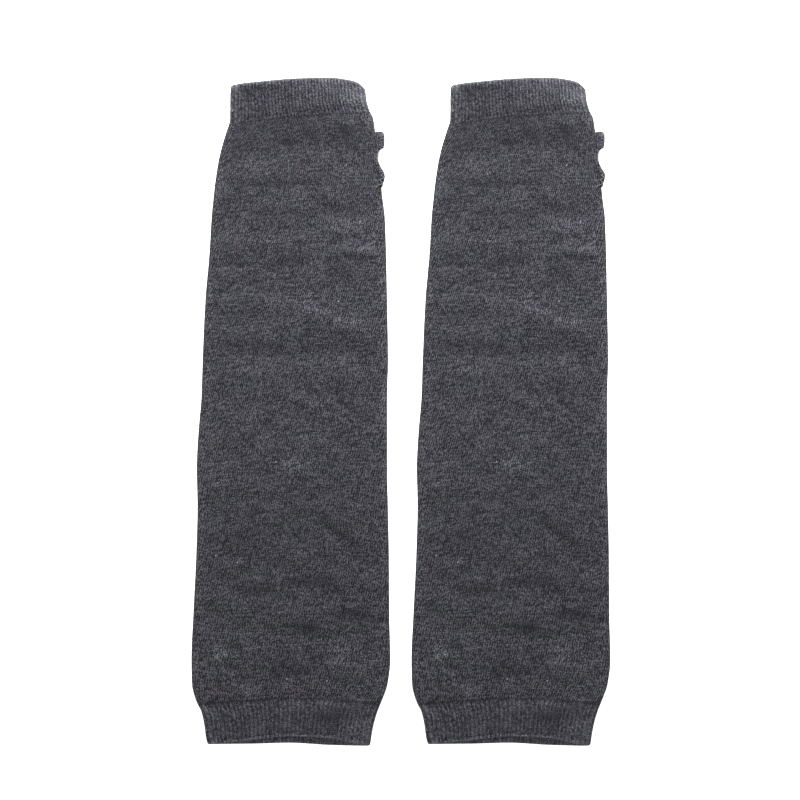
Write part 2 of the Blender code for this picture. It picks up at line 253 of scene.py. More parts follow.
@dataclass
class WarmerForm:
    """The shape that all the pieces of a warmer follow, in millimetres.

    The outline's rows are (up, left, right), the air's (up, height), the thumb edge's (up, inner, outer) and
    the painted fold light's (up, left, right). The knitted rows that end a piece, and the hems, are distances
    up, one for each of the course shares of the width.
    """

    jersey_wall: float = 1.2
    welt_wall: float = 1.6
    layer_gap: float = 0.6
    fold_margin: float = 6.0
    fold_reach: float = 3.8
    outline: Table = (
        (0.0, 42.2, 40.3),
        (5.0, 43.3, 41.0),
        (11.0, 44.1, 42.1),
        (17.5, 45.6, 44.0),
        (21.5, 47.6, 45.6),
        (25.5, 49.1, 47.2),
        (31.5, 50.4, 49.2),
        (44.0, 50.7, 50.6),
        (68.0, 49.7, 50.1),
        (99.0, 48.2, 49.9),
        (123.0, 47.6, 49.4),
        (142.0, 48.0, 49.0),
        (160.0, 47.1, 49.0),
        (178.0, 45.6, 49.0),
        (196.5, 45.0, 49.5),
        (227.0, 43.6, 49.0),
        (251.5, 41.5, 48.5),
        (270.0, 40.4, 47.8),
        (277.0, 39.7, 46.9),
        (284.5, 38.9, 45.9),
        (298.0, 36.9, 44.5),
        (305.5, 35.1, 43.8),
        (313.0, 32.8, 42.9),
        (319.5, 30.9, 41.9),
        (324.0, 30.8, 39.7),
        (329.0, 30.8, 38.3),
        (334.0, 30.6, 37.8),
        (340.0, 30.2, 36.8),
    )
    air: Table = (
        (0.0, 1.6),
        (20.0, 0.9),
        (60.0, 1.3),
        (150.0, 1.0),
        (250.0, 1.2),
        (310.0, 0.8),
        (340.0, 1.0),
    )
    thumb_edge: Table = (
        (284.6, 45.9, 46.5),
        (286.7, 45.4, 46.9),
        (288.3, 45.1, 47.6),
        (290.3, 44.9, 47.9),
        (292.2, 44.4, 47.4),
        (293.5, 43.5, 46.4),
        (295.8, 42.4, 45.3),
        (298.0, 41.8, 44.5),
        (300.0, 41.6, 44.3),
        (302.6, 41.6, 44.7),
        (303.4, 41.6, 45.3),
        (303.9, 41.7, 46.1),
        (304.4, 41.7, 46.9),
        (305.2, 41.8, 47.3),
        (306.6, 41.9, 47.5),
        (309.6, 42.3, 47.7),
        (311.2, 42.5, 47.6),
        (312.1, 42.8, 47.1),
        (312.7, 43.9, 46.3),
    )
    course_shares: tuple[float, ...] = (0.0, 0.1, 0.25, 0.5, 0.75, 0.88, 0.95, 1.0)
    arm_hem_back: tuple[float, ...] = (0.8, 0.9, 1.0, 1.5, 0.4, 0.1, 0.0, 0.0)
    arm_hem_front: tuple[float, ...] = (1.0, 1.8, 3.1, 5.3, 4.3, 1.8, 0.9, 0.6)
    arm_rib_end: tuple[float, ...] = (21.4, 22.0, 23.0, 24.4, 23.6, 22.4, 21.8, 21.4)
    hand_rib_end: tuple[float, ...] = (315.6, 316.8, 318.4, 320.4, 321.4, 321.8, 322.0, 322.2)
    hand_hem: tuple[float, ...] = (336.2, 337.3, 338.3, 339.6, 340.0, 339.0, 337.7, 334.6)
    edging_overlap: float = 1.2
    # Painted light on the front creases' ridges and painted shade in their troughs, per millimetre of height.
    crease_painted_light: float = 0.16
    front_creases: tuple[Crease, ...] = (
        Crease(-44.0, 257.0, 16.0, 256.5, 3.6, 0.52),
        Crease(6.0, 257.0, 47.0, 248.0, 3.2, 0.62),
        Crease(20.0, 260.0, 46.0, 266.5, 2.6, 0.60),
        Crease(-24.0, 285.5, 26.0, 286.5, 3.0, -0.72),
        Crease(-26.0, 271.0, 0.0, 268.5, 3.0, -0.52),
        Crease(-6.0, 268.5, 43.0, 273.0, 3.2, -0.45),
        Crease(-38.0, 245.0, 6.0, 244.5, 3.6, -0.34),
        Crease(13.0, 240.0, 33.0, 239.5, 4.0, -0.50),
        Crease(-4.0, 224.5, 48.0, 207.5, 3.2, 0.66),
        Crease(2.0, 223.0, 46.0, 209.0, 6.5, 0.52),
        Crease(-26.0, 226.0, 22.0, 225.0, 4.2, 0.45),
        Crease(-43.0, 200.0, 12.0, 200.0, 4.2, -0.65),
        Crease(-4.0, 200.0, 48.0, 201.0, 4.2, -0.59),
        Crease(14.0, 184.0, 45.0, 162.0, 3.0, -1.04),
        Crease(-10.0, 181.0, 23.0, 166.0, 2.8, 0.45),
        Crease(12.0, 116.0, 40.0, 94.0, 3.2, -1.04),
        Crease(20.0, 316.0, 33.0, 310.0, 2.2, -0.65),
        Crease(-10.0, 308.0, 6.0, 304.0, 2.6, -0.45),
        Crease(-45.0, 128.0, -10.0, 136.0, 7.0, 0.59),
        Crease(-36.0, 98.0, 2.0, 90.0, 4.0, -0.45),
        Crease(-30.0, 70.0, 5.0, 61.0, 7.0, 0.59),
        Crease(20.0, 67.0, 46.0, 63.0, 3.0, -0.52),
        Crease(-47.0, 42.0, -30.0, 32.0, 2.6, 0.39),
        Crease(48.0, 44.0, 30.0, 33.0, 2.6, 0.39),
        Crease(-14.0, 36.0, 16.0, 38.0, 3.0, -0.45),
    )
    back_creases: tuple[Crease, ...] = (
        Crease(-40.0, 258.0, -10.0, 250.0, 4.5, 0.3),
        Crease(-44.0, 214.0, -16.0, 205.0, 4.0, 0.3),
        Crease(-12.0, 196.0, 30.0, 199.0, 3.6, 0.25),
        Crease(10.0, 166.0, 42.0, 152.0, 4.5, 0.3),
        Crease(-38.0, 118.0, -8.0, 108.0, 4.5, 0.25),
        Crease(6.0, 72.0, 38.0, 80.0, 4.5, 0.3),
        Crease(-6.0, 286.0, 22.0, 280.0, 4.0, 0.25),
    )
    # Front tone patches: some uneven yarn, most painted shade and painted light by the creases and welts.
    marks: tuple[Mark, ...] = (
        Mark(36.0, 331.0, 9.0, 9.0, 0.86),
        Mark(22.0, 334.0, 12.0, 7.0, 0.28),
        Mark(-19.0, 333.6, 10.0, 2.0, -0.40),
        Mark(5.0, 310.0, 60.0, 9.0, -0.15),
        Mark(27.5, 311.0, 5.0, 4.5, -0.42),
        Mark(35.9, 315.6, 2.5, 3.5, -0.34),
        Mark(-1.3, 308.0, 3.0, 5.0, -0.30),
        Mark(8.9, 311.0, 3.0, 4.0, -0.32),
        Mark(-12.0, 315.0, 7.0, 4.0, -0.18),
        Mark(28.8, 317.4, 4.0, 2.0, 0.42),
        Mark(-11.5, 300.8, 5.0, 4.5, -0.06),
        Mark(3.8, 301.8, 4.0, 3.0, -0.10),
        Mark(-21.6, 286.0, 6.0, 2.5, -0.38),
        Mark(-5.0, 285.5, 12.0, 2.2, -0.26),
        Mark(-6.0, 271.5, 24.0, 3.4, -0.15),
        Mark(-20.0, 259.0, 22.0, 2.6, 0.10),
        Mark(34.0, 263.0, 13.0, 3.5, 0.24),
        Mark(-13.0, 246.5, 22.0, 2.6, 0.05),
        Mark(25.0, 241.0, 10.0, 4.0, -0.10),
        Mark(2.3, 247.9, 5.0, 2.5, -0.50),
        Mark(4.0, 226.0, 11.0, 3.4, 0.09),
        Mark(-24.0, 203.5, 20.0, 2.6, -0.24),
        Mark(18.0, 203.8, 20.0, 2.6, 0.06),
        Mark(1.0, 144.0, 8.0, 4.0, 0.92),
        Mark(-22.0, 106.0, 16.0, 4.0, -0.18),
        Mark(28.0, 104.0, 11.0, 6.0, 0.04),
        Mark(11.0, 83.8, 10.0, 2.6, -0.54),
        Mark(-17.3, 79.0, 9.0, 3.6, -0.42),
        Mark(7.4, 60.6, 7.0, 3.2, -0.62),
        Mark(32.8, 65.6, 11.0, 3.8, -0.32),
        Mark(-31.0, 50.0, 6.0, 3.0, -0.16),
        Mark(3.6, 38.9, 12.0, 3.6, -0.26),
        Mark(23.9, 25.4, 6.0, 4.0, -0.08),
        Mark(-26.0, 30.0, 6.0, 3.0, 0.56),
        Mark(-19.6, 55.0, 8.0, 5.0, 0.20),
        Mark(-35.5, 47.0, 3.8, 3.2, 1.30),
        Mark(28.0, 47.5, 7.0, 5.0, 0.46),
        Mark(-38.4, 97.2, 5.0, 5.0, -0.06),
        Mark(0.0, 11.0, 70.0, 9.0, -0.25),
        Mark(26.0, 23.2, 14.0, 1.4, 0.12),
        Mark(22.0, 16.5, 16.0, 4.0, -0.40),
        Mark(6.0, 321.0, 24.0, 4.0, -0.14),
        Mark(34.0, 9.0, 7.0, 6.0, 0.30),
        Mark(0.0, 66.0, 90.0, 48.0, -0.10),
        Mark(4.0, 118.0, 60.0, 24.0, -0.13),
        Mark(0.0, 147.0, 26.0, 10.0, -0.14),
        Mark(-11.0, 71.0, 8.0, 5.0, -0.26),
        Mark(-12.0, 254.5, 9.0, 5.0, 0.18),
        Mark(41.0, 254.0, 6.0, 6.0, 0.26),
        Mark(-10.0, 290.0, 30.0, 10.0, 0.13),
    )
    # Back tone patches, like the front's: some uneven yarn, most painted shade and painted light.
    back_marks: tuple[Mark, ...] = (
        Mark(-8.0, 312.0, 30.0, 6.0, -0.20),
        Mark(14.0, 297.0, 8.0, 4.0, 0.16),
        Mark(-20.0, 270.0, 18.0, 3.0, -0.18),
        Mark(18.0, 252.0, 16.0, 3.0, -0.16),
        Mark(-14.0, 229.0, 14.0, 3.4, 0.14),
        Mark(6.0, 193.0, 22.0, 2.8, -0.16),
        Mark(-24.0, 160.0, 12.0, 4.0, -0.20),
        Mark(20.0, 131.0, 10.0, 4.0, 0.34),
        Mark(-12.0, 99.0, 14.0, 3.4, -0.26),
        Mark(24.0, 74.0, 10.0, 3.4, -0.30),
        Mark(-30.0, 57.0, 7.0, 4.0, 0.36),
        Mark(2.0, 42.0, 12.0, 3.4, -0.28),
        Mark(0.0, 11.0, 70.0, 9.0, -0.20),
    )
    # Painted shade: soft darker lines along a crease trough and along the arm welt's seam.
    painted_shade_lines: tuple[Crease, ...] = (
        Crease(16.0, 184.0, 45.0, 161.0, 2.4, -0.20),
        Crease(-46.0, 21.7, -16.0, 23.5, 0.9, -0.24, 0.12),
        Crease(-24.0, 23.2, 8.0, 24.5, 0.9, -0.08, 0.12),
    )
    swell: Swell = Swell(seed=41, height=0.16, shortest=9.0, longest=30.0)
    pebble: Swell = Swell(seed=7, height=0.035, shortest=3.4, longest=7.0, waves=40, spread=0.35)
    # Painted highlight along both folds: how much it lightens the tone at the left and the right fold, by
    # distance up.
    fold_painted_light: Table = (
        (0.0, 0.10, 0.12),
        (60.0, 0.14, 0.14),
        (120.0, 0.22, 0.18),
        (200.0, 0.22, 0.26),
        (250.0, 0.20, 0.34),
        (300.0, 0.16, 0.28),
        (324.0, 0.28, 0.34),
        (340.0, 0.40, 0.34),
    )
    fold_painted_light_reach: float = 6.5
    thumb_slit: tuple[float, float] = (293.4, 304.6)
    opening_ends: tuple[float, float] = (277.0, 319.0)
    opening_ease: float = 9.0

    @property
    def half_height(self) -> float:
        """Half the height of the tube pressed flat."""
        return self.jersey_wall + self.layer_gap / 2.0

    def left_fold(self, up: Number) -> Number:
        """Return where the left-hand fold lies at a distance up."""
        return -smooth_curve(column(self.outline, 0), column(self.outline, 1), up)

    def right_fold(self, up: Number) -> Number:
        """Return where the right-hand fold lies at a distance up."""
        return smooth_curve(column(self.outline, 0), column(self.outline, 2), up)

    def edging_inner(self, up: Number) -> Number:
        """Return where the thumb edging's inner side lies at a distance up."""
        return smooth_curve(column(self.thumb_edge, 0), column(self.thumb_edge, 1), up)

    def edging_outer(self, up: Number) -> Number:
        """Return where the thumb edging's outer side lies at a distance up."""
        return smooth_curve(column(self.thumb_edge, 0), column(self.thumb_edge, 2), up)

    def notch(self, up: Number) -> Number:
        """Return how far the thumb opening cuts in from the right-hand fold.

        Args:
            up: Distances up.

        Returns:
            The cut's depths, none above or below the opening.
        """
        ups = column(self.thumb_edge, 0)
        beside = (up >= ups[0]) & (up <= ups[-1])
        cut = np.maximum(0.0, self.right_fold(up) - self.edging_inner(up) - self.edging_overlap)
        return np.where(beside, cut, 0.0)

    def beside_opening(self, up: Number) -> Number:
        """Return 1 beside the thumb opening and its edging, easing to 0 past them."""
        low, high = self.opening_ends
        return smooth_step((up - low) / self.opening_ease) * smooth_step((high - up) / self.opening_ease)

    def clear_of_folds(self, across: np.ndarray, up: np.ndarray) -> np.ndarray:
        """Return 0 at the two folds, rising to 1 past the fold margin."""
        inset = np.minimum(across - self.left_fold(up), self.right_fold(up) - self.notch(up) - across)
        return smooth_step((inset - self.jersey_wall) / self.fold_margin)

    def tone(self, across: np.ndarray, up: np.ndarray, front: np.ndarray) -> np.ndarray:
        """Work out how light the knit is: its soft patches, and painted light and shade on creases, lines and
        folds.

        Args:
            across: The places' distances across.
            up: Their distances up.
            front: How much each place belongs to the front layer, from 0 to 1.

        Returns:
            The tone at each place, about 1.
        """
        total = np.ones(np.broadcast(across, up).shape)
        for mark in self.marks:
            total += front * mark.shade(across, up)
        for mark in self.back_marks:
            total += (1.0 - front) * mark.shade(across, up)
        # Painted light on the crease ridges and painted shade in their troughs.
        for crease in self.front_creases:
            total += self.crease_painted_light * front * crease.rise(across, up)
        # Painted shade along the listed lines.
        for line in self.painted_shade_lines:
            total += front * line.rise(across, up)
        # Painted highlight along both folds, fading over its reach.
        ups = column(self.fold_painted_light, 0)
        insets = (across - self.left_fold(up), self.right_fold(up) - self.notch(up) - across)
        for index, inset in enumerate(insets):
            painted_light = smooth_curve(ups, column(self.fold_painted_light, index + 1), up)
            total += painted_light * (1.0 - smooth_step(inset / self.fold_painted_light_reach))
        return total

    def lift(self, across: np.ndarray, up: np.ndarray) -> np.ndarray:
        """Return how far the front layer stands above a tube pressed flat.

        Args:
            across: The places' distances across.
            up: Their distances up.

        Returns:
            The lift at each place, none at the folds.
        """
        left = self.left_fold(up)
        share = np.clip((across - left) / (self.right_fold(up) - left), 0.0, 1.0)
        total = smooth_curve(column(self.air, 0), column(self.air, 1), up) * np.sin(math.pi * share)
        for crease in self.front_creases:
            total = total + crease.rise(across, up)
        total = total + self.swell.rise(across, up)
        return self.clear_of_folds(across, up) * np.maximum(0.0, total)

    def hollow(self, across: np.ndarray, up: np.ndarray) -> np.ndarray:
        """Return how far the back layer's troughs stand clear of the floor.

        Args:
            across: The places' distances across.
            up: Their distances up.

        Returns:
            The clearance at each place, none at the folds.
        """
        total = np.zeros(np.broadcast(across, up).shape)
        for crease in self.back_creases:
            total += crease.rise(across, up)
        return self.clear_of_folds(across, up) * total


@dataclass(frozen=True)
class Ring:
    """How a knitted wall's columns are shared out round the flat tube, from its left fold over the front."""

    front: int
    fold: int
    back: int
    wales: int
    width: float
    reach: float = 3.8
    radius: float = 1.5

    def columns(self) -> tuple[np.ndarray, np.ndarray, np.ndarray, np.ndarray]:
        """Work out each column's place.

        Returns:
            The share of the flat width, the cosine and sine of the wall's bearing, and the wale. There is one
            more of each than there are columns, so that the last ones close the ring.
        """
        over = np.arange(self.front) / self.front
        round_fold = np.arange(self.fold) / self.fold
        under = np.arange(self.back) / self.back
        share = np.concatenate((over, np.ones(self.fold), 1.0 - under, np.zeros(self.fold), [0.0]))
        turn = np.concatenate((np.zeros(self.front), round_fold, np.ones(self.back), 1.0 + round_fold, [2.0]))
        bearing = math.pi * (0.5 - turn)
        flat = self.width - 2.0 * self.reach
        bend = math.pi * math.sqrt((self.reach ** 2 + self.radius ** 2) / 2.0)
        run = np.concatenate((
            over * flat,
            flat + round_fold * bend,
            flat + bend + under * flat,
            2.0 * flat + bend + round_fold * bend,
            [2.0 * (flat + bend)],
        ))
        return share, np.cos(bearing), np.sin(bearing), self.wales * run / run[-1]


@dataclass
class KnittedWall:
    """A closed knitted wall round the flat tube, between two knitted rows."""

    form: WarmerForm
    ring: Ring
    thickness: float
    length: float
    courses: float
    outer_rows: int
    inner_step: int
    start: Hold
    end: Hold
    seam_rounding: float = 0.14
    seam_steps: int = 3
    lip_steps: int = 6
    lip_fade: float = 1.5
    settling_passes: int = 3
    hem_reach: float = 1.5
    # Painted highlight along a hem's lip.
    hem_painted_light: float = 0.7
    seam_reach: float = 1.4
    # Painted shade along a seam.
    seam_painted_shade: float = 0.22
    # Painted light on the inner skin, which the walls shade from the lamp.
    inside_painted_light: float = 1.0
    pull_reach: float = 10.0
    opening_square: float = 2.6

    def end_rows(self, hold: Hold) -> list[tuple[float, float]]:
        """List an end's rows from the outer skin to the inner one.

        Args:
            hold: How the end is finished.

        Returns:
            Each row's inset from the end and its depth in the wall.
        """
        if hold is Hold.HEM:
            return self.rounded_rows(self.thickness / 2.0, math.pi, self.lip_steps)
        return self.rounded_rows(self.seam_rounding, math.pi / 2.0, self.seam_steps) + [(0.0, self.thickness)]

    @staticmethod
    def rounded_rows(radius: float, arc: float, steps: int) -> list[tuple[float, float]]:
        """List the rows round an arc that starts in the outer skin.

        Args:
            radius: The arc's radius.
            arc: How far it turns.
            steps: Its steps.

        Returns:
            Each row's inset from the end and its depth in the wall.
        """
        turns = [arc * step / steps for step in range(steps + 1)]
        return [(radius * (1.0 - math.sin(turn)), radius * (1.0 - math.cos(turn))) for turn in turns]

    def row_plan(self) -> tuple[np.ndarray, np.ndarray, list[int], list[int]]:
        """Lay out the wall's rows: up the outer skin, over the end, down the inner skin and over the start.

        Returns:
            Each row's share of the way up and its depth in the wall, the outer skin's rows, and the inner
            skin's row that faces each outer one, or -1.
        """
        first = self.end_rows(self.start)
        last = self.end_rows(self.end)
        outer = np.linspace(first[0][0], self.length - last[0][0], self.outer_rows)
        kept = self.inner_rows(outer)
        plan = [(place, 0.0) for place in outer]
        plan += [(self.length - inset, depth) for inset, depth in last[1:-1]]
        inner_starts = len(plan)
        plan += [(min(max(outer[row], first[-1][0]), self.length - last[-1][0]), self.thickness)
                 for row in reversed(kept)]
        plan += [(inset, depth) for inset, depth in reversed(first[1:-1])]
        facing = [-1] * self.outer_rows
        for order, row in enumerate(reversed(kept)):
            facing[row] = inner_starts + order
        shares = np.array([place for place, _ in plan]) / self.length
        return shares, np.array([depth for _, depth in plan]), list(range(self.outer_rows)), facing

    def inner_rows(self, outer: np.ndarray) -> list[int]:
        """Choose which of the outer skin's rows the inner skin repeats.

        Args:
            outer: The outer rows' distances from the start.

        Returns:
            The rows, rising.
        """
        last = self.outer_rows - 1
        spanned = self.open_rows(outer / self.length)
        return sorted(set(range(0, self.outer_rows, self.inner_step)) | {last} | set(spanned))

    def open_rows(self, shares: np.ndarray) -> list[int]:
        """List the rows that a hole in the wall spans, none here."""
        return []

    def open_columns(self) -> tuple[int, int]:
        """Return the first and last column that bound a hole, none here."""
        return 0, 0

    def course(self, across_share: np.ndarray, share: np.ndarray, front: np.ndarray) -> np.ndarray:
        """Return how far up a knitted row lies.

        Args:
            across_share: Shares of the width from the left fold.
            share: The row's share of the way from the start to the end.
            front: How much the column belongs to the front layer, from 0 to 1.

        Returns:
            The distances up.
        """
        raise NotImplementedError

    def radius(self, share: np.ndarray) -> np.ndarray:
        """Return half the height of the wall pressed flat, at shares of the way up."""
        return np.full_like(share, self.form.half_height)

    def drift(self, courses: np.ndarray) -> np.ndarray:
        """Return how many wales the stitches have leaned aside after a number of courses, none here."""
        return np.zeros_like(courses)

    def relief(self, wale: np.ndarray, share: np.ndarray, up: np.ndarray) -> np.ndarray:
        """Return how far the knit's own relief stands off the outer skin, none here."""
        return np.zeros(np.broadcast(wale, share, up).shape)

    def points(self, shares: np.ndarray, depths: np.ndarray) -> np.ndarray:
        """Place every point of the wall.

        A few passes settle each point, because the outline is read at the distance up that the last one gave.

        Args:
            shares: Each row's share of the way up.
            depths: Each row's depth in the wall.

        Returns:
            The points, as rows by columns by (across, up, height).
        """
        flat_share, cosine, sine, wale = (values[None, :-1] for values in self.ring.columns())
        share = shares[:, None]
        depth = depths[:, None]
        front = (1.0 + sine) / 2.0
        radius = self.radius(share)
        up = self.course(np.full_like(share, 0.5), share, np.ones_like(share)) + np.zeros_like(flat_share)
        for _ in range(self.settling_passes):
            left = self.form.left_fold(up)
            right = self.form.right_fold(up)
            reach = self.form.fold_reach - self.opening_square * self.form.beside_opening(up) * flat_share
            across = left + reach + (right - left - 2.0 * reach) * flat_share + (reach - depth) * cosine
            up = self.course((across - left) / (right - left), share, front)
        pull = self.form.notch(up) * smooth_step((across - right + self.pull_reach) / self.pull_reach)
        across = across - pull
        skin = 1.0 - depth / self.thickness
        stand_off = self.relief(wale, share, up) * skin
        lift = self.form.lift(across, up) + self.form.pebble.rise(across, up) * skin
        hollow = self.form.hollow(across, up)
        loose = lift * front ** 2 + hollow * (1.0 - front) ** 2
        height = radius + (radius - depth + stand_off) * sine + loose
        return np.stack((across + stand_off * cosine, up, np.maximum(height, 0.0)), axis=2)

    def mesh(self, name: str) -> bpy.types.Mesh:
        """Knit the wall as a closed mesh, in millimetres, with its stitches as a UV map and its tone.

        Args:
            name: The mesh's name.

        Returns:
            The mesh.
        """
        shares, depths, outer, facing = self.row_plan()
        points = self.points(shares, depths)
        rows, columns = points.shape[:2]
        row_index, column_index = np.meshgrid(np.arange(rows), np.arange(columns), indexing="ij")
        next_row = (row_index + 1) % rows
        next_column = (column_index + 1) % columns
        corners = np.stack((
            row_index * columns + column_index,
            row_index * columns + next_column,
            next_row * columns + next_column,
            next_row * columns + column_index,
        ), axis=2)
        wale = self.ring.columns()[3]
        near_wale, far_wale = wale[column_index], wale[column_index + 1]
        near_share, far_share = shares[row_index], shares[next_row]
        uv_v = self.courses * np.stack((near_share, near_share, far_share, far_share), axis=2)
        uv_u = np.stack((near_wale, far_wale, far_wale, near_wale), axis=2) - self.drift(uv_v)
        kept = np.ones((rows, columns), bool)
        low, high = self.open_columns()
        gap_rows = self.open_rows(shares[outer])
        walls = []
        if gap_rows:
            for row in gap_rows[:-1]:
                kept[row, low:high] = False
            first_inner, last_inner = facing[gap_rows[-1]], facing[gap_rows[0]]
            kept[first_inner:last_inner, low:high] = False
            walls = self.hole_walls(gap_rows, facing, columns, low, high)
        faces = corners[kept].reshape(-1, 4).tolist() + walls
        uvs = np.stack((uv_u[kept], uv_v[kept]), axis=2).reshape(-1, 2)
        wall_corners = np.array(walls, int).reshape(-1)
        wall_v = self.courses * shares[wall_corners // columns]
        wall_uvs = np.stack((wale[wall_corners % columns] - self.drift(wall_v), wall_v), axis=1)
        mesh = bpy.data.meshes.new(name)
        mesh.from_pydata(points.reshape(-1, 3).tolist(), [], faces)
        mesh.uv_layers.new(name=STITCH_MAP)
        mesh.uv_layers[STITCH_MAP].uv.foreach_set("vector", np.concatenate((uvs, wall_uvs)).ravel())
        self.add_tone(mesh, points, shares, depths)
        return mesh

    @staticmethod
    def hole_walls(rows: list[int], facing: list[int], columns: int, low: int, high: int) -> list[list[int]]:
        """Close the wall's thickness round a hole.

        Args:
            rows: The outer skin's rows that the hole spans.
            facing: The inner skin's row that faces each outer one.
            columns: How many columns there are.
            low: The column that bounds the hole on one side.
            high: The column that bounds it on the other.

        Returns:
            The faces, as corners.
        """
        walls = []
        for row, after in zip(rows, rows[1:]):
            for side in (low, high):
                walls.append([row * columns + side, after * columns + side,
                              facing[after] * columns + side, facing[row] * columns + side])
        for row in (rows[0], rows[-1]):
            for side in range(low, high):
                walls.append([row * columns + side, row * columns + side + 1,
                              facing[row] * columns + side + 1, facing[row] * columns + side])
        return walls

    def add_tone(self, mesh: bpy.types.Mesh, points: np.ndarray, shares: np.ndarray,
                 depths: np.ndarray) -> None:
        """Write the knit's tone at each point: marks, painted light on hems and inner skin, painted shade at
        seams.

        Args:
            mesh: The wall's mesh.
            points: The wall's points, in rows and columns.
            shares: Each row's share of the way up.
            depths: Each row's depth in the wall.
        """
        front = smooth_step((1.0 + self.ring.columns()[2][None, :-1]) / 2.0)
        tone = self.form.tone(points[:, :, 0], points[:, :, 1], front)
        inside = (depths / self.thickness)[:, None]
        for hold, distance in ((self.start, shares * self.length), (self.end, (1.0 - shares) * self.length)):
            if hold is Hold.HEM:
                near = (1.0 - smooth_step(distance / self.hem_reach))[:, None]
                # Painted highlight along the hem's lip.
                tone += self.hem_painted_light * near * (1.0 - smooth_step(self.lip_fade * inside))
            else:
                # Painted shade along the seam.
                tone -= self.seam_painted_shade * (1.0 - smooth_step(distance / self.seam_reach))[:, None]
        # Painted light on the inner skin.
        tone *= 1.0 + self.inside_painted_light * smooth_step(2.0 * inside - 1.0)
        self.write_tone(mesh, tone)

    @staticmethod
    def write_tone(mesh: bpy.types.Mesh, tone: np.ndarray) -> None:
        """Write a tone for each point of a mesh."""
        attribute = mesh.attributes.new(TONE_MAP, "FLOAT", "POINT")
        attribute.data.foreach_set("value", tone.ravel())


@dataclass
class JerseyTube(KnittedWall):
    """The plain jersey tube between the two welts, open at the thumb."""

    slit_columns: int = 2
    lean: Table = (
        (0.0, 0.14),
        (90.0, 0.14),
        (136.0, 0.155),
        (183.0, 0.168),
        (230.0, 0.225),
        (280.0, 0.245),
        (340.0, 0.17),
    )

    def drift(self, courses: np.ndarray) -> np.ndarray:
        """Return how many wales the stitches have leaned aside, as single jersey does, more towards the hand.

        Args:
            courses: Numbers of courses from the arm end.

        Returns:
            The wales leaned aside by then.
        """
        rows = np.arange(self.courses + 1.0)
        leans = np.interp(rows, column(self.lean, 0), column(self.lean, 1))
        leaned = np.concatenate(([0.0], np.cumsum((leans[1:] + leans[:-1]) / 2.0)))
        return np.interp(courses, rows, leaned)

    def course(self, across_share: np.ndarray, share: np.ndarray, front: np.ndarray) -> np.ndarray:
        """Return how far up a knitted row of the tube lies.

        Args:
            across_share: Shares of the width from the left fold.
            share: The row's share of the way from the arm welt to the hand welt.
            front: How much the column belongs to the front layer, which changes nothing here.

        Returns:
            The distances up.
        """
        low = smooth_curve(self.form.course_shares, self.form.arm_rib_end, across_share)
        high = smooth_curve(self.form.course_shares, self.form.hand_rib_end, across_share)
        return low + (high - low) * share

    def open_rows(self, shares: np.ndarray) -> list[int]:
        """List the rows beside the thumb opening's slit.

        Args:
            shares: The rows' shares of the way up.

        Returns:
            The rows, rising.
        """
        low, high = self.form.thumb_slit
        ups = self.course(np.ones_like(shares), shares, np.ones_like(shares))
        return [row for row, up in enumerate(ups) if low <= up <= high]

    def open_columns(self) -> tuple[int, int]:
        """Return the columns just above and below the middle of the right-hand fold."""
        middle = self.ring.front + self.ring.fold // 2
        return middle - self.slit_columns // 2, middle + self.slit_columns // 2


@dataclass
class RibbedWelt(KnittedWall):
    """A one-by-one ribbed welt, knitted on to the tube at its seam end and finished at its hem end."""

    seam_at_start: bool = True
    rib_height: float = 0.16
    rib_depth: float = 0.08
    rib_growth: float = 6.0
    rib_fade: float = 1.6
    rib_at_hem: float = 0.4
    crest_power: float = 0.8
    body_growth: float = 7.0
    seam_reach: float = 1.2
    # Painted shade along the welt's seam.
    seam_painted_shade: float = 0.34

    def hem_course(self, across_share: np.ndarray, front: np.ndarray) -> np.ndarray:
        """Return how far up the hem lies.

        Args:
            across_share: Shares of the width from the left fold.
            front: How much the column belongs to the front layer, from 0 to 1.

        Returns:
            The distances up.
        """
        if self.seam_at_start:
            return smooth_curve(self.form.course_shares, self.form.hand_hem, across_share)
        on_front = smooth_curve(self.form.course_shares, self.form.arm_hem_front, across_share)
        on_back = smooth_curve(self.form.course_shares, self.form.arm_hem_back, across_share)
        return on_back + (on_front - on_back) * smooth_step(front)

    def course(self, across_share: np.ndarray, share: np.ndarray, front: np.ndarray) -> np.ndarray:
        """Return how far up a knitted row of the welt lies.

        Args:
            across_share: Shares of the width from the left fold.
            share: The row's share of the way from the start to the end.
            front: How much the column belongs to the front layer, from 0 to 1.

        Returns:
            The distances up.
        """
        seam_row = self.form.hand_rib_end if self.seam_at_start else self.form.arm_rib_end
        seam = smooth_curve(self.form.course_shares, seam_row, across_share)
        hem = self.hem_course(across_share, front)
        return seam + (hem - seam) * self.share_from_seam(share)

    def share_from_seam(self, share: np.ndarray) -> np.ndarray:
        """Return shares of the way from the seam to the hem, from shares of the way up."""
        return share if self.seam_at_start else 1.0 - share

    def radius(self, share: np.ndarray) -> np.ndarray:
        """Return half the height of the flat welt, which starts as the tube's and grows to its own.

        Args:
            share: Shares of the way up.

        Returns:
            The half heights.
        """
        from_seam = self.share_from_seam(share) * self.length
        extra = self.form.welt_wall - self.form.jersey_wall
        return self.form.half_height + extra * smooth_step(from_seam / self.body_growth)

    def relief(self, wale: np.ndarray, share: np.ndarray, up: np.ndarray) -> np.ndarray:
        """Return the ribs' height over the outer skin: rounded crests with narrow valleys between.

        Args:
            wale: The columns' wales.
            share: Shares of the way up.
            up: The places' distances up, which change nothing here.

        Returns:
            The heights, below 0 in the valleys.
        """
        from_seam = self.share_from_seam(share) * self.length
        crest = 0.5 - 0.5 * np.cos(2.0 * math.pi * wale)
        growth = smooth_step(from_seam / self.rib_growth)
        fade = smooth_step((self.length - from_seam) / self.rib_fade)
        ribs = (self.rib_height + self.rib_depth) * crest ** self.crest_power - self.rib_depth
        return growth * (self.rib_at_hem + (1.0 - self.rib_at_hem) * fade) * ribs


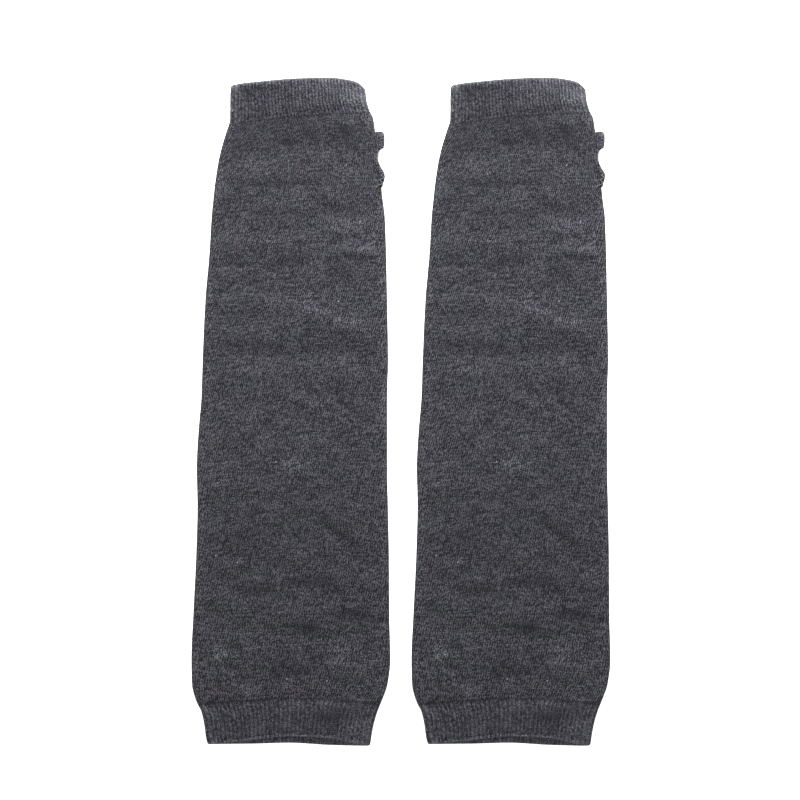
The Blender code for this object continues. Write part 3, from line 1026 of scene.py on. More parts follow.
@dataclass
class ThumbEdging:
    """The overlocked edging round the thumb opening: a turned band, slit at the fold, and its thread."""

    form: WarmerForm
    wall: float = 1.4
    slit: float = 0.5
    slit_across: float = 44.0
    slit_reach: float = 12.0
    station_gap: float = 1.0
    rounding: float = 0.8
    rim_segments: int = 4
    least_width: float = 2.3
    outer_side: float = 1e-3
    thread_radius: float = 0.14
    crossing_radius: float = 0.21
    loop_segments: int = 16
    thread_sides: int = 6
    loop_length: float = 2.6
    loop_bend: float = 0.55
    loop_overhang: float = 0.12
    loop_bite: float = 0.2
    pitch: float = 1.5
    past_slit: float = 0.6
    lean: float = 0.30
    crossing_below: float = 293.0
    crossing_fade: float = 2.0
    crossing_lean: float = 0.62
    wale_width: float = 1.12
    course_height: float = 0.87
    # Painted highlight along the band's outer rim, weakest from the slit down.
    rim_painted_light: float = 1.6
    rim_least: float = 0.2
    rim_reach: float = 1.7
    # Painted shade where the band joins the tube.
    join_painted_shade: float = 0.12
    crossing_dark: float = 0.40

    @property
    def height(self) -> float:
        """The band's whole height: both rims and the slit between them."""
        return 2.0 * self.wall + self.slit

    def stations(self) -> list[tuple[float, float, float]]:
        """Space stations along the band, closer than the edge's own rows.

        Returns:
            How far up each lies, and how far across its inner and its outer side.
        """
        ups = column(self.form.thumb_edge, 0)
        places = [ups[0]]
        for low, high in zip(ups, ups[1:]):
            steps = math.ceil((high - low) / self.station_gap)
            places += [low + (high - low) * step / steps for step in range(1, steps + 1)]
        inner = self.form.edging_inner(np.array(places)).tolist()
        outer = self.form.edging_outer(np.array(places)).tolist()
        return list(zip(places, inner, outer))

    def band(self) -> bpy.types.Object:
        """Model the band: a strip along the opening, thickened, rounded at its rim and slit.

        Returns:
            The band.
        """
        band = self.strip()
        bpy.ops.mesh.select_all(action="SELECT")
        bpy.ops.mesh.extrude_region_move(TRANSFORM_OT_translate={"value": (0.0, 0.0, self.height)})
        bpy.ops.mesh.select_all(action="SELECT")
        bpy.ops.mesh.normals_make_consistent(inside=False)
        select_edges(band, self.is_rim_edge)
        bpy.ops.mesh.bevel(offset=self.rounding, segments=self.rim_segments, affect="EDGES")
        bpy.ops.object.mode_set(mode="OBJECT")
        self.cut_slit(band)
        self.map_stitches(band.data)
        return band

    def strip(self) -> bpy.types.Object:
        """Extrude a plane from station to station along the opening.

        Returns:
            The strip, still in edit mode.
        """
        stations = self.stations()
        deselect()
        bpy.ops.mesh.primitive_plane_add(size=1.0, calc_uvs=False)
        strip = bpy.context.active_object
        bpy.ops.object.mode_set(mode="EDIT")
        shape = bmesh.from_edit_mesh(strip.data)
        corners = sorted(shape.verts, key=lambda corner: (corner.co.y, corner.co.x))
        for index, (up, inner, outer) in enumerate(stations[:2]):
            corners[2 * index].co = (inner, up, 0.0)
            corners[2 * index + 1].co = (outer, up, 0.0)
        for (before, _, _), (up, inner, outer) in zip(stations[1:], stations[2:]):
            select_edges(strip, lambda edge: all(abs(end.co.y - before) < TOUCHING for end in edge.verts))
            bpy.ops.mesh.extrude_region_move(TRANSFORM_OT_translate={"value": (0.0, up - before, 0.0)})
            shape = bmesh.from_edit_mesh(strip.data)
            ends = sorted((corner for corner in shape.verts if corner.select), key=lambda corner: corner.co.x)
            ends[0].co = (inner, up, 0.0)
            ends[1].co = (outer, up, 0.0)
        return strip

    def map_stitches(self, mesh: bpy.types.Mesh) -> None:
        """Carry the tube's stitches and tone on over the band, painted lighter along its outer rim.

        Args:
            mesh: The band's mesh.
        """
        points = np.array([corner.co for corner in mesh.vertices])
        across, up, height = points.T
        stitches = np.stack(((across + height) / self.wale_width, up / self.course_height), axis=1)
        corners = np.array([loop.vertex_index for loop in mesh.loops])
        mesh.uv_layers.new(name=STITCH_MAP)
        mesh.uv_layers[STITCH_MAP].uv.foreach_set("vector", stitches[corners].ravel())
        top = self.form.thumb_edge[-1][0]
        slit_high = self.form.thumb_slit[1]
        from_rim = np.minimum(self.form.edging_outer(up) - across, top - up)
        from_join = across - self.form.edging_inner(up)
        above_slit = smooth_step((up - slit_high) / (top - slit_high))
        above_crossing = smooth_step((up - self.crossing_below + self.crossing_fade) / self.crossing_fade)
        # Painted highlight along the outer rim.
        painted_light = self.rim_painted_light * (self.rim_least + (1.0 - self.rim_least) * above_slit)
        tone = 1.0 + painted_light * (1.0 - smooth_step(from_rim / self.rim_reach))
        # Painted shade along the join.
        tone -= self.join_painted_shade * (1.0 - smooth_step(from_join / self.rim_reach))
        tone -= self.crossing_dark * (1.0 - above_crossing)
        KnittedWall.write_tone(mesh, tone)

    def is_rim_edge(self, edge: bmesh.types.BMEdge) -> bool:
        """Tell whether an edge runs along the band's outer side or its top end, where it is rounded.

        Args:
            edge: The edge.

        Returns:
            Whether it does.
        """
        top = self.form.thumb_edge[-1][0]
        if abs(edge.verts[0].co.z - edge.verts[1].co.z) >= TOUCHING:
            return False
        if all(abs(corner.co.y - top) < TOUCHING for corner in edge.verts):
            return True
        for corner in edge.verts:
            inner = self.form.edging_inner(corner.co.y)
            outer = self.form.edging_outer(corner.co.y)
            if outer - inner < self.least_width or abs(corner.co.x - outer) > self.outer_side:
                return False
        return True

    def cut_slit(self, band: bpy.types.Object) -> None:
        """Part the band's front rim from its back rim, which opens the hole.

        Args:
            band: The band.
        """
        low, high = self.form.thumb_slit
        centre = (self.slit_across, (low + high) / 2.0, self.height / 2.0)
        deselect()
        bpy.ops.mesh.primitive_cube_add(size=1.0, location=centre)
        cutter = bpy.context.active_object
        cutter.scale = (self.slit_reach, high - low, self.slit)
        bpy.ops.object.transform_apply(location=True, scale=True)
        cut = band.modifiers.new("slit", "BOOLEAN")
        cut.operation = "DIFFERENCE"
        cut.object = cutter
        apply_modifier(band, cut)
        bpy.data.objects.remove(cutter)

    def thread_loop(self, height: float, radius: float) -> bpy.types.Object:
        """Model one loop of thread that stands across the edge.

        Args:
            height: The loop's height between the thread's middles.
            radius: The thread's radius.

        Returns:
            The loop.
        """
        deselect()
        bpy.ops.mesh.primitive_torus_add(
            major_segments=self.loop_segments, minor_segments=self.thread_sides,
            major_radius=self.loop_bend, minor_radius=radius)
        loop = bpy.context.active_object
        bpy.ops.object.mode_set(mode="EDIT")
        bpy.ops.mesh.select_all(action="SELECT")
        bpy.ops.transform.rotate(value=math.pi / 2.0, orient_axis="X", center_override=(0.0, 0.0, 0.0))
        for axis, size in ((0, self.loop_length), (2, height)):
            for way in (1.0, -1.0):
                shape = bmesh.from_edit_mesh(loop.data)
                bpy.ops.mesh.select_all(action="DESELECT")
                for corner in shape.verts:
                    corner.select = way * corner.co[axis] > TOUCHING
                shape.select_flush_mode()
                move = [0.0, 0.0, 0.0]
                move[axis] = way * (size / 2.0 - self.loop_bend)
                bpy.ops.transform.translate(value=move)
        bpy.ops.object.mode_set(mode="OBJECT")
        return loop

    def edge_path(self) -> tuple[np.ndarray, np.ndarray]:
        """Walk along the outer edge, up the band and over its top.

        Returns:
            The path's points and the directions that face out of the edge there.
        """
        stations = self.stations()
        corners = np.array([(outer, up) for up, _, outer in stations] + [(stations[-1][1], stations[-1][0])])
        run = np.concatenate(([0.0], np.cumsum(np.hypot(*np.diff(corners, axis=0).T))))
        count = int(run[-1] / self.pitch)
        places = (np.arange(count) + 0.5) * run[-1] / count

        def at(distance: np.ndarray) -> np.ndarray:
            """Read the path at distances along it."""
            return np.stack([np.interp(distance, run, corners[:, axis]) for axis in (0, 1)], axis=1)

        along = at(places + self.pitch) - at(places - self.pitch)
        along /= np.linalg.norm(along, axis=1)[:, None]
        return at(places), np.stack((along[:, 1], -along[:, 0]), axis=1)

    def thread(self) -> bpy.types.Object:
        """Loop the thread round the edge: round each rim beside the slit, and round the whole band past it.

        Returns:
            The thread.
        """
        low, high = self.form.thumb_slit
        rim_height = self.wall - self.loop_bite
        whole_height = self.height - self.loop_bite
        rim = self.thread_loop(rim_height, self.thread_radius)
        whole = self.thread_loop(whole_height, self.thread_radius)
        crossed = self.thread_loop(whole_height, self.crossing_radius)
        rim_levels = (self.thread_radius + rim_height / 2.0, self.height - self.wall / 2.0)
        whole_levels = (self.crossing_radius + whole_height / 2.0,)
        loops = []
        for index, (place, outwards) in enumerate(zip(*self.edge_path())):
            beside_slit = low - self.past_slit < place[1] < high + self.past_slit
            levels = rim_levels if beside_slit else whole_levels
            crossing = place[1] < self.crossing_below
            pattern = crossed if crossing else rim if beside_slit else whole
            lean = self.crossing_lean * (-1.0) ** index if crossing else self.lean
            turn = Matrix.Rotation(math.atan2(outwards[1], outwards[0]) + lean, 4, "Z")
            centre = place - outwards * (self.loop_length / 2.0 - self.loop_overhang)
            for level in levels:
                mesh = pattern.data.copy()
                mesh.transform(Matrix.Translation((centre[0], centre[1], level)) @ turn)
                loops.append(bpy.data.objects.new("loop", mesh))
        for pattern in (rim, whole, crossed):
            bpy.data.objects.remove(pattern)
        return join(loops)


@dataclass(frozen=True)
class Neps:
    """Small pale knots of fibre that are caught in the yarn."""

    places: tuple[tuple[float, float], ...] = (
        (-38.1, 96.9),
        (-37.1, 133.9),
        (-7.4, 144.6),
        (-33.8, 46.7),
        (-2.0, 34.3),
        (18.3, 33.3),
        (-27.2, 93.4),
        (-12.0, 290.8),
        (28.1, 295.3),
        (35.2, 266.5),
        (24.2, 226.2),
    )
    radius: float = 0.42
    narrowness: float = 0.75
    flatness: float = 0.5
    turn_step: float = 1.3

    def build(self, form: WarmerForm) -> bpy.types.Object:
        """Model one flattened knot and copy it to each place on the tube's front.

        Args:
            form: The warmer's form.

        Returns:
            The knots, joined.
        """
        deselect()
        bpy.ops.mesh.primitive_ico_sphere_add(subdivisions=2, radius=self.radius)
        knot = bpy.context.active_object
        bpy.ops.object.mode_set(mode="EDIT")
        bpy.ops.mesh.select_all(action="SELECT")
        bpy.ops.transform.resize(value=(1.0, self.narrowness, self.flatness))
        bpy.ops.object.mode_set(mode="OBJECT")
        knots = []
        for index, (across, up) in enumerate(self.places):
            mesh = knot.data.copy()
            height = 2.0 * form.half_height + float(form.lift(np.array(across), np.array(up)))
            turn = Matrix.Rotation(self.turn_step * index, 4, "Z")
            mesh.transform(Matrix.Translation((across, up, height)) @ turn)
            knots.append(bpy.data.objects.new("knot", mesh))
        bpy.data.objects.remove(knot)
        return join(knots)


@dataclass
class Placement:
    """Where each warmer lies, worked out from the frame."""

    arm_end: float
    centres: dict[Side, float]

    @classmethod
    def from_frame(cls, form: WarmerForm) -> "Placement":
        """Read the two warmers' places off the solids.

        Args:
            form: The warmers' form.

        Returns:
            The placement, in millimetres.
        """
        arm_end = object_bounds()[0].y / MILLIMETRE
        widest = max(column(form.outline, 1))
        lows = {side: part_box(side.value + "_tube_back")[0].x / MILLIMETRE for side in Side}
        return cls(arm_end, {side: low + widest for side, low in lows.items()})

    def place(self, mesh: bpy.types.Mesh, side: Side) -> None:
        """Turn a mesh from a warmer's own millimetres into metres in its place.

        Args:
            mesh: The mesh.
            side: The warmer that it belongs to.
        """
        points = np.empty(len(mesh.vertices) * 3, np.float32)
        mesh.vertices.foreach_get("co", points)
        placed = (points.reshape(-1, 3) + (self.centres[side], self.arm_end, 0.0)) * MILLIMETRE
        mesh.vertices.foreach_set("co", placed.ravel())
        mesh.update()


def deselect() -> None:
    """Leave nothing selected."""
    for other in bpy.context.view_layer.objects:
        other.select_set(False)


def select_edges(piece: bpy.types.Object, chosen: Callable[[bmesh.types.BMEdge], bool]) -> None:
    """In edit mode, select the edges that a test picks, and nothing else.

    Args:
        piece: The piece.
        chosen: The test.
    """
    bpy.ops.mesh.select_mode(type="EDGE")
    bpy.ops.mesh.select_all(action="DESELECT")
    shape = bmesh.from_edit_mesh(piece.data)
    for edge in shape.edges:
        if chosen(edge):
            edge.select = True
    bmesh.update_edit_mesh(piece.data)


def apply_modifier(piece: bpy.types.Object, modifier: bpy.types.Modifier) -> None:
    """Make a modifier's result the piece's own mesh.

    Args:
        piece: The piece.
        modifier: One of its modifiers.
    """
    deselect()
    piece.select_set(True)
    bpy.context.view_layer.objects.active = piece
    bpy.ops.object.modifier_apply(modifier=modifier.name)


def join(pieces: list[bpy.types.Object]) -> bpy.types.Object:
    """Put several new pieces into the scene and join them into the first one.

    Args:
        pieces: The pieces.

    Returns:
        The first one, which now holds them all.
    """
    deselect()
    for piece in pieces:
        bpy.context.scene.collection.objects.link(piece)
        piece.select_set(True)
    bpy.context.view_layer.objects.active = pieces[0]
    bpy.ops.object.join()
    return pieces[0]


def finish_mesh(mesh: bpy.types.Mesh) -> None:
    """Turn all faces outwards and shade them smooth.

    Args:
        mesh: A closed mesh.
    """
    builder = bmesh.new()
    builder.from_mesh(mesh)
    bmesh.ops.recalc_face_normals(builder, faces=builder.faces)
    builder.to_mesh(mesh)
    builder.free()
    mesh.shade_smooth()


def add_piece(name: str, mesh: bpy.types.Mesh, material: bpy.types.Material) -> bpy.types.Object:
    """Put a mesh into the scene as one piece, at the origin.

    Args:
        name: The piece's name.
        mesh: Its mesh.
        material: Its finish.

    Returns:
        The piece.
    """
    piece = bpy.data.objects.new(name, mesh)
    mesh.materials.clear()
    mesh.materials.append(material)
    bpy.context.scene.collection.objects.link(piece)
    return piece


class Graph:
    """Short calls that add and link the nodes of one shader tree."""

    def __init__(self, tree: bpy.types.NodeTree) -> None:
        """Keep the tree."""
        self.tree = tree

    def add(self, kind: str, **settings: object) -> bpy.types.Node:
        """Add a node.

        Args:
            kind: The node's type.
            settings: Its properties.

        Returns:
            The node.
        """
        node = self.tree.nodes.new(kind)
        for name, value in settings.items():
            setattr(node, name, value)
        return node

    def feed(self, node: bpy.types.Node, **inputs: object) -> bpy.types.Node:
        """Link or set a node's inputs.

        Args:
            node: The node.
            inputs: Sockets or values, by an input's name with spaces as underscores, or by i and its number.

        Returns:
            The node.
        """
        for name, value in inputs.items():
            key = int(name[1:]) if name[0] == "i" and name[1:].isdigit() else name.replace("_", " ")
            if isinstance(value, bpy.types.NodeSocket):
                self.tree.links.new(value, node.inputs[key])
            else:
                node.inputs[key].default_value = value
        return node

    def maths(self, operation: str, *operands: object) -> bpy.types.NodeSocket:
        """Add a Math node.

        Args:
            operation: What it does.
            operands: Its inputs, sockets or numbers.

        Returns:
            Its value.
        """
        node = self.add("ShaderNodeMath", operation=operation)
        self.feed(node, **{"i%d" % index: operand for index, operand in enumerate(operands)})
        return node.outputs[0]

    def vector_maths(self, operation: str, **inputs: object) -> bpy.types.NodeSocket:
        """Add a Vector Math node, fed by number or name, and return its vector."""
        node = self.add("ShaderNodeVectorMath", operation=operation)
        return self.feed(node, **inputs).outputs[0]

    def span(self, value: bpy.types.NodeSocket, low: float, high: float, top: float = 1.0,
             kind: str = "LINEAR") -> bpy.types.NodeSocket:
        """Map a value from a span to 0 and up, held at both ends.

        Args:
            value: The value.
            low: Where the result is 0.
            high: Where the result is at its top.
            top: The result's top.
            kind: How it runs between them.

        Returns:
            The result.
        """
        node = self.add("ShaderNodeMapRange", interpolation_type=kind, clamp=True)
        return self.feed(node, Value=value, From_Min=low, From_Max=high, To_Max=top).outputs["Result"]

    def combine(self, x: object, y: object) -> bpy.types.NodeSocket:
        """Join two numbers into a vector."""
        return self.feed(self.add("ShaderNodeCombineXYZ"), X=x, Y=y).outputs[0]

    def dice(self, x: object, y: object) -> bpy.types.NodeSocket:
        """Add a white noise, one number from 0 to 1 for each pair of numbers."""
        node = self.add("ShaderNodeTexWhiteNoise", noise_dimensions="2D")
        return self.feed(node, Vector=self.combine(x, y)).outputs["Value"]

    def stitch_place(self, given: bpy.types.Node) -> tuple[bpy.types.NodeSocket, ...]:
        """Read where a place lies among the V stitches.

        Args:
            given: The group's input node, with the stitch map and the slant of the stitches' legs.

        Returns:
            The wale, the course, the place across its wale from -1 to 1, its distance from the wale's middle,
            and the course along the slanted legs.
        """
        place = self.feed(self.add("ShaderNodeSeparateXYZ"), Vector=given.outputs["Stitches"]).outputs
        wale, course = place[0], place[1]
        signed = self.maths("MULTIPLY_ADD", self.maths("FRACT", wale), 2.0, -1.0)
        aside = self.maths("ABSOLUTE", signed)
        leaning = self.maths("SUBTRACT", course, self.maths("MULTIPLY", aside, given.outputs["Slant"]))
        return wale, course, signed, aside, leaning


def new_group(name: str, inputs: tuple[tuple[str, str], ...],
              outputs: tuple[tuple[str, str], ...]) -> tuple[Graph, bpy.types.Node, bpy.types.Node]:
    """Start a shader node group.

    Args:
        name: The group's name.
        inputs: Each input's name and kind.
        outputs: Each output's name and kind.

    Returns:
        The group's graph, its input node and its output node.
    """
    tree = bpy.data.node_groups.new(name, "ShaderNodeTree")
    for label, kind in inputs:
        tree.interface.new_socket(name=label, in_out="INPUT", socket_type=kind)
    for label, kind in outputs:
        tree.interface.new_socket(name=label, in_out="OUTPUT", socket_type=kind)
    graph = Graph(tree)
    return graph, graph.add("NodeGroupInput"), graph.add("NodeGroupOutput")


def new_material(name: str) -> tuple[bpy.types.Material, Graph, bpy.types.Node]:
    """Start a material.

    Args:
        name: Its name.

    Returns:
        The material, the graph of its nodes, and its shader.
    """
    material = bpy.data.materials.new(name)
    material.use_nodes = True
    return material, Graph(material.node_tree), material.node_tree.nodes["Principled BSDF"]


@dataclass(frozen=True)
class VStitches:
    """The shader group of the V stitches: one wale and one course for each unit of the stitch map."""

    valley_power: float = 3.0
    round_share: float = 0.45
    leg_height: float = 0.35

    def build(self) -> bpy.types.NodeTree:
        """Build the group.

        Returns:
            Its tree.
        """
        graph, given, result = new_group(
            "v_stitches",
            (("Stitches", VECTOR), ("Slant", FLOAT), ("Groove", FLOAT), ("Bold", FLOAT)),
            (("Height", FLOAT), ("Tone", FLOAT)),
        )
        _, _, signed, aside, leaning = graph.stitch_place(given)
        rounded = graph.maths("SINE", graph.maths("MULTIPLY", graph.maths("FRACT", leaning), math.pi))
        leg = graph.maths("SINE", graph.maths("MULTIPLY", aside, math.pi))
        valley = graph.maths("POWER", aside, self.valley_power)
        strand = graph.maths("MULTIPLY_ADD", rounded, self.round_share, 1.0 - self.round_share)
        body = graph.maths("MULTIPLY", strand, graph.maths("SUBTRACT", 1.0, valley))
        height = graph.maths("MULTIPLY_ADD", leg, self.leg_height, body)
        # Painted shade in the valleys between the wales.
        dimmed = graph.maths("SUBTRACT", 1.0, graph.maths("MULTIPLY", valley, given.outputs["Groove"]))
        lean = graph.maths("MULTIPLY", graph.maths("MULTIPLY", signed, leg), given.outputs["Bold"])
        graph.feed(result, Height=height, Tone=graph.maths("ADD", dimmed, lean))
        return graph.tree


@dataclass(frozen=True)
class MelangeYarn:
    """The shader group of the yarn: light and dark streaks along the courses, and uneven single stitches.

    Each streak, patch or cloud is a noise, stretched by a share of the wales and a share of the courses.
    """

    streak_stretch: tuple[float, float] = (0.12, 1.0)
    patch_stretch: tuple[float, float] = (0.028, 0.1)
    tint_stretch: tuple[float, float] = (0.75, 0.85)
    tint_scale: float = 0.075
    tint_span: tuple[float, float] = (0.38, 0.54)
    fibre_rows: float = 1.5
    fibre_power: float = 1.5
    fibre_middle: float = 0.4
    ripple_rows: float = 1.3
    ripple_step: float = 0.37
    ripple_length: float = 0.2
    ripple_drift: float = 0.35
    fleck_from: float = 0.9985
    least_tone: float = 0.1

    def build(self) -> bpy.types.NodeTree:
        """Build the group.

        Returns:
            Its tree.
        """
        shares = ("Streaks", "Strokes", "Fibres", "Ripple", "Patches", "Flecks")
        graph, given, result = new_group(
            "melange_yarn",
            (("Stitches", VECTOR), ("Slant", FLOAT), *((share, FLOAT) for share in shares)),
            (("Tone", FLOAT), ("Tint", FLOAT)),
        )
        wale, course, _, _, leaning = graph.stitch_place(given)
        leg = graph.maths("FLOOR", graph.maths("MULTIPLY", wale, 2.0))
        loop = graph.maths("FLOOR", leaning)
        streak = self.cloud(graph, wale, course, self.streak_stretch)
        stroke = graph.dice(leg, loop)
        fibre_row = graph.maths("FLOOR", graph.maths("MULTIPLY", course, self.fibre_rows))
        fibre = graph.maths("POWER", graph.dice(fibre_row, leg), self.fibre_power)
        ripple = self.ripple(graph, wale, course)
        patch = self.cloud(graph, wale, course, self.patch_stretch)
        fleck = graph.maths("GREATER_THAN", graph.dice(loop, leg), self.fleck_from)
        middles = (0.5, 0.5, self.fibre_middle, 0.0, 0.5, 0.0)
        tone = 1.0
        for share, value, middle in zip(shares, (streak, stroke, fibre, ripple, patch, fleck), middles):
            above = graph.maths("SUBTRACT", value, middle)
            tone = graph.maths("MULTIPLY_ADD", above, given.outputs[share], tone)
        cloud = self.cloud(graph, wale, course, self.tint_stretch, self.tint_scale, detail=3.0)
        tint = graph.span(cloud, *self.tint_span, kind="SMOOTHSTEP")
        graph.feed(result, Tone=graph.maths("MAXIMUM", tone, self.least_tone), Tint=tint)
        return graph.tree

    @staticmethod
    def cloud(graph: Graph, wale: bpy.types.NodeSocket, course: bpy.types.NodeSocket,
              stretch: tuple[float, float], scale: float = 1.0, detail: float = 2.0) -> bpy.types.NodeSocket:
        """Add a flat noise over the stitches.

        Args:
            graph: The group's graph.
            wale: The place's wale.
            course: The place's course.
            stretch: The shares of the wales and of the courses.
            scale: The noise's scale.
            detail: Its detail.

        Returns:
            The noise's value, about one half.
        """
        x = graph.maths("MULTIPLY", wale, stretch[0])
        y = graph.maths("MULTIPLY", course, stretch[1])
        noise = graph.add("ShaderNodeTexNoise", noise_dimensions="2D")
        return graph.feed(noise, Vector=graph.combine(x, y), Scale=scale, Detail=detail).outputs[0]

    def ripple(self, graph: Graph, wale: bpy.types.NodeSocket,
               course: bpy.types.NodeSocket) -> bpy.types.NodeSocket:
        """Add the wales' own light and dark lines, shifted a little in each short stretch of a row.

        Args:
            graph: The group's graph.
            wale: The place's wale.
            course: The place's course.

        Returns:
            The ripple, from -1 to 1.
        """
        line = graph.maths("FLOOR", graph.maths("MULTIPLY", course, self.ripple_rows))
        run = graph.maths("MULTIPLY", wale, self.ripple_length)
        stretch = graph.maths("FLOOR", graph.maths("MULTIPLY_ADD", line, self.ripple_step, run))
        drifted = graph.maths("MULTIPLY_ADD", graph.dice(stretch, line), self.ripple_drift, wale)
        return graph.maths("SINE", graph.maths("MULTIPLY", drifted, 2.0 * math.pi))


@dataclass(frozen=True)
class KnitFinish:
    """A knitted surface in melange yarn."""

    name: str
    base: Colour
    tinted: Colour
    # Added to the colour: an even grey haze of painted sheen, with a little extra blue as the yarn's cool
    # cast.
    painted_sheen_and_blue_cast: Colour = (0.0031, 0.0030, 0.0055)
    slant: float = 1.6
    # Painted shade in the valleys between the wales.
    groove: float = 0.3
    bold: float = 0.3
    streaks: float = 2.2
    strokes: float = 0.9
    fibres: float = 2.6
    ripple: float = 1.0
    patches: float = 0.7
    flecks: float = 0.9
    legs: float = 1.0
    # Where the tone is brightest, mostly on painted highlights, the stitch pattern is washed towards plain.
    highlight_wash: float = 0.85
    highlight_wash_from: tuple[float, float] = (1.9, 2.6)
    relief: float = 0.0003
    roughness: float = 0.95
    sheen: float = 0.02
    sheen_roughness: float = 0.5
    specular: float = 0.08

    def build(self, stitch_group: bpy.types.NodeTree, yarn_group: bpy.types.NodeTree) -> bpy.types.Material:
        """Build the material.

        Args:
            stitch_group: The shader group of the V stitches.
            yarn_group: The shader group of the melange yarn.

        Returns:
            The material.
        """
        material, graph, shader = new_material(self.name)
        stitches = graph.add("ShaderNodeUVMap", uv_map=STITCH_MAP).outputs["UV"]
        legs = graph.vector_maths("MULTIPLY", i0=stitches, i1=(self.legs, 1.0, 1.0))
        stitch = graph.add("ShaderNodeGroup", node_tree=stitch_group)
        graph.feed(stitch, Stitches=stitches, Slant=self.slant, Groove=self.groove, Bold=self.bold)
        yarn = graph.add("ShaderNodeGroup", node_tree=yarn_group)
        graph.feed(yarn, Stitches=legs, Slant=self.slant, Streaks=self.streaks, Strokes=self.strokes,
                   Fibres=self.fibres, Ripple=self.ripple, Patches=self.patches, Flecks=self.flecks)
        marks = graph.add("ShaderNodeAttribute", attribute_name=TONE_MAP).outputs["Fac"]
        pattern = graph.maths("MULTIPLY", stitch.outputs["Tone"], yarn.outputs["Tone"])
        # Wash the stitch pattern towards plain on the brightest tones, mostly painted highlights.
        highlight_wash = graph.span(marks, *self.highlight_wash_from, top=self.highlight_wash)
        plain = graph.maths("MULTIPLY_ADD", graph.maths("SUBTRACT", 1.0, pattern), highlight_wash, pattern)
        tone = graph.maths("MULTIPLY", plain, marks)
        mixed = graph.add("ShaderNodeMix", data_type="RGBA")
        graph.feed(mixed, i0=yarn.outputs["Tint"], i6=(*self.base, 1.0), i7=(*self.tinted, 1.0))
        melange = graph.vector_maths("SCALE", i0=mixed.outputs[2], Scale=tone)
        bump = graph.feed(graph.add("ShaderNodeBump"), Height=stitch.outputs["Height"], Strength=1.0,
                          Distance=self.relief)
        # The base colour takes the painted sheen haze and blue cast on top.
        graph.feed(shader, Base_Color=graph.vector_maths("ADD", i0=melange, i1=self.painted_sheen_and_blue_cast),
                   Normal=bump.outputs["Normal"], Roughness=self.roughness, Metallic=0.0,
                   Sheen_Weight=self.sheen, Sheen_Roughness=self.sheen_roughness,
                   Specular_IOR_Level=self.specular)
        return material


@dataclass(frozen=True)
class YarnFinish:
    """Plain yarn or felted fibre, on the object's own coordinates."""

    name: str
    base: Colour
    grain_size: float = 0.0007
    grain: float = 1.6
    grain_detail: float = 3.0
    grain_roughness: float = 0.6
    least_tone: float = 0.15
    relief: float = 0.00015
    roughness: float = 0.95
    sheen: float = 0.03
    specular: float = 0.12

    def build(self) -> bpy.types.Material:
        """Build the material.

        Returns:
            The material.
        """
        material, graph, shader = new_material(self.name)
        place = graph.add("ShaderNodeTexCoord").outputs["Object"]
        noise = graph.feed(graph.add("ShaderNodeTexNoise"), Vector=place, Scale=1.0 / self.grain_size,
                           Detail=self.grain_detail, Roughness=self.grain_roughness).outputs[0]
        tone = graph.maths("MULTIPLY_ADD", graph.maths("SUBTRACT", noise, 0.5), self.grain, 1.0)
        tone = graph.maths("MAXIMUM", tone, self.least_tone)
        colour = graph.vector_maths("SCALE", i0=self.base, Scale=tone)
        bump = graph.feed(graph.add("ShaderNodeBump"), Height=noise, Strength=1.0, Distance=self.relief)
        graph.feed(shader, Base_Color=colour, Normal=bump.outputs["Normal"], Roughness=self.roughness,
                   Sheen_Weight=self.sheen, Specular_IOR_Level=self.specular)
        return material


@dataclass(frozen=True)
class PaleFloor:
    """The plain pale floor that the pair lies on."""

    width: float = 4.0
    drop: float = 0.0003
    colour: Colour = (0.9, 0.9, 0.9)
    glow: float = 0.7
    roughness: float = 0.9
    specular: float = 0.1

    def build(self) -> None:
        """Lay the floor just under the pair."""
        deselect()
        bpy.ops.mesh.primitive_plane_add(size=self.width, location=(0.0, 0.0, -self.drop))
        floor = bpy.context.active_object
        floor.name = "pale_floor"
        bpy.ops.object.transform_apply(location=True)
        material, graph, shader = new_material(floor.name)
        graph.feed(shader, Base_Color=(*self.colour, 1.0), Roughness=self.roughness,
                   Specular_IOR_Level=self.specular, Emission_Color=WHITE, Emission_Strength=self.glow)
        floor.data.materials.append(material)
        floor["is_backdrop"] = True


@dataclass
class Studio:
    """The camera straight above the pair, and soft studio light."""

    view_width: float = 0.4072
    view_across: float = -0.0005
    view_up: float = 0.0061
    view_height: float = 0.0015
    lens: float = 100.0
    sensor: float = 36.0
    fill: float = 0.97
    key_power: float = 54.0
    key_place: Point = (0.06, 1.04, 0.62)
    key_size: float = 0.4

    def add_camera(self) -> None:
        """Hang the camera over the middle of the view."""
        data = bpy.data.cameras.new("camera")
        data.lens = self.lens
        data.sensor_width = self.sensor
        camera = bpy.data.objects.new("camera", data)
        distance = self.view_width * self.lens / self.sensor
        camera.location = (self.view_across, self.view_up, self.view_height + distance)
        bpy.context.scene.collection.objects.link(camera)
        bpy.context.scene.camera = camera

    def add_lights(self) -> None:
        """Light the pair from above its hand end, with an even fill."""
        data = bpy.data.lights.new("key", "AREA")
        data.energy = self.key_power
        data.size = self.key_size
        key = bpy.data.objects.new("key", data)
        key.location = self.key_place
        key.rotation_euler = Vector(self.key_place).to_track_quat("Z", "Y").to_euler()
        bpy.context.scene.collection.objects.link(key)

    def add_world(self) -> None:
        """Surround the scene with even white light."""
        world = bpy.data.worlds.new("studio")
        world.use_nodes = True
        background = world.node_tree.nodes["Background"]
        background.inputs["Color"].default_value = WHITE
        background.inputs["Strength"].default_value = self.fill
        bpy.context.scene.world = world
        bpy.context.scene.view_settings.view_transform = "Standard"


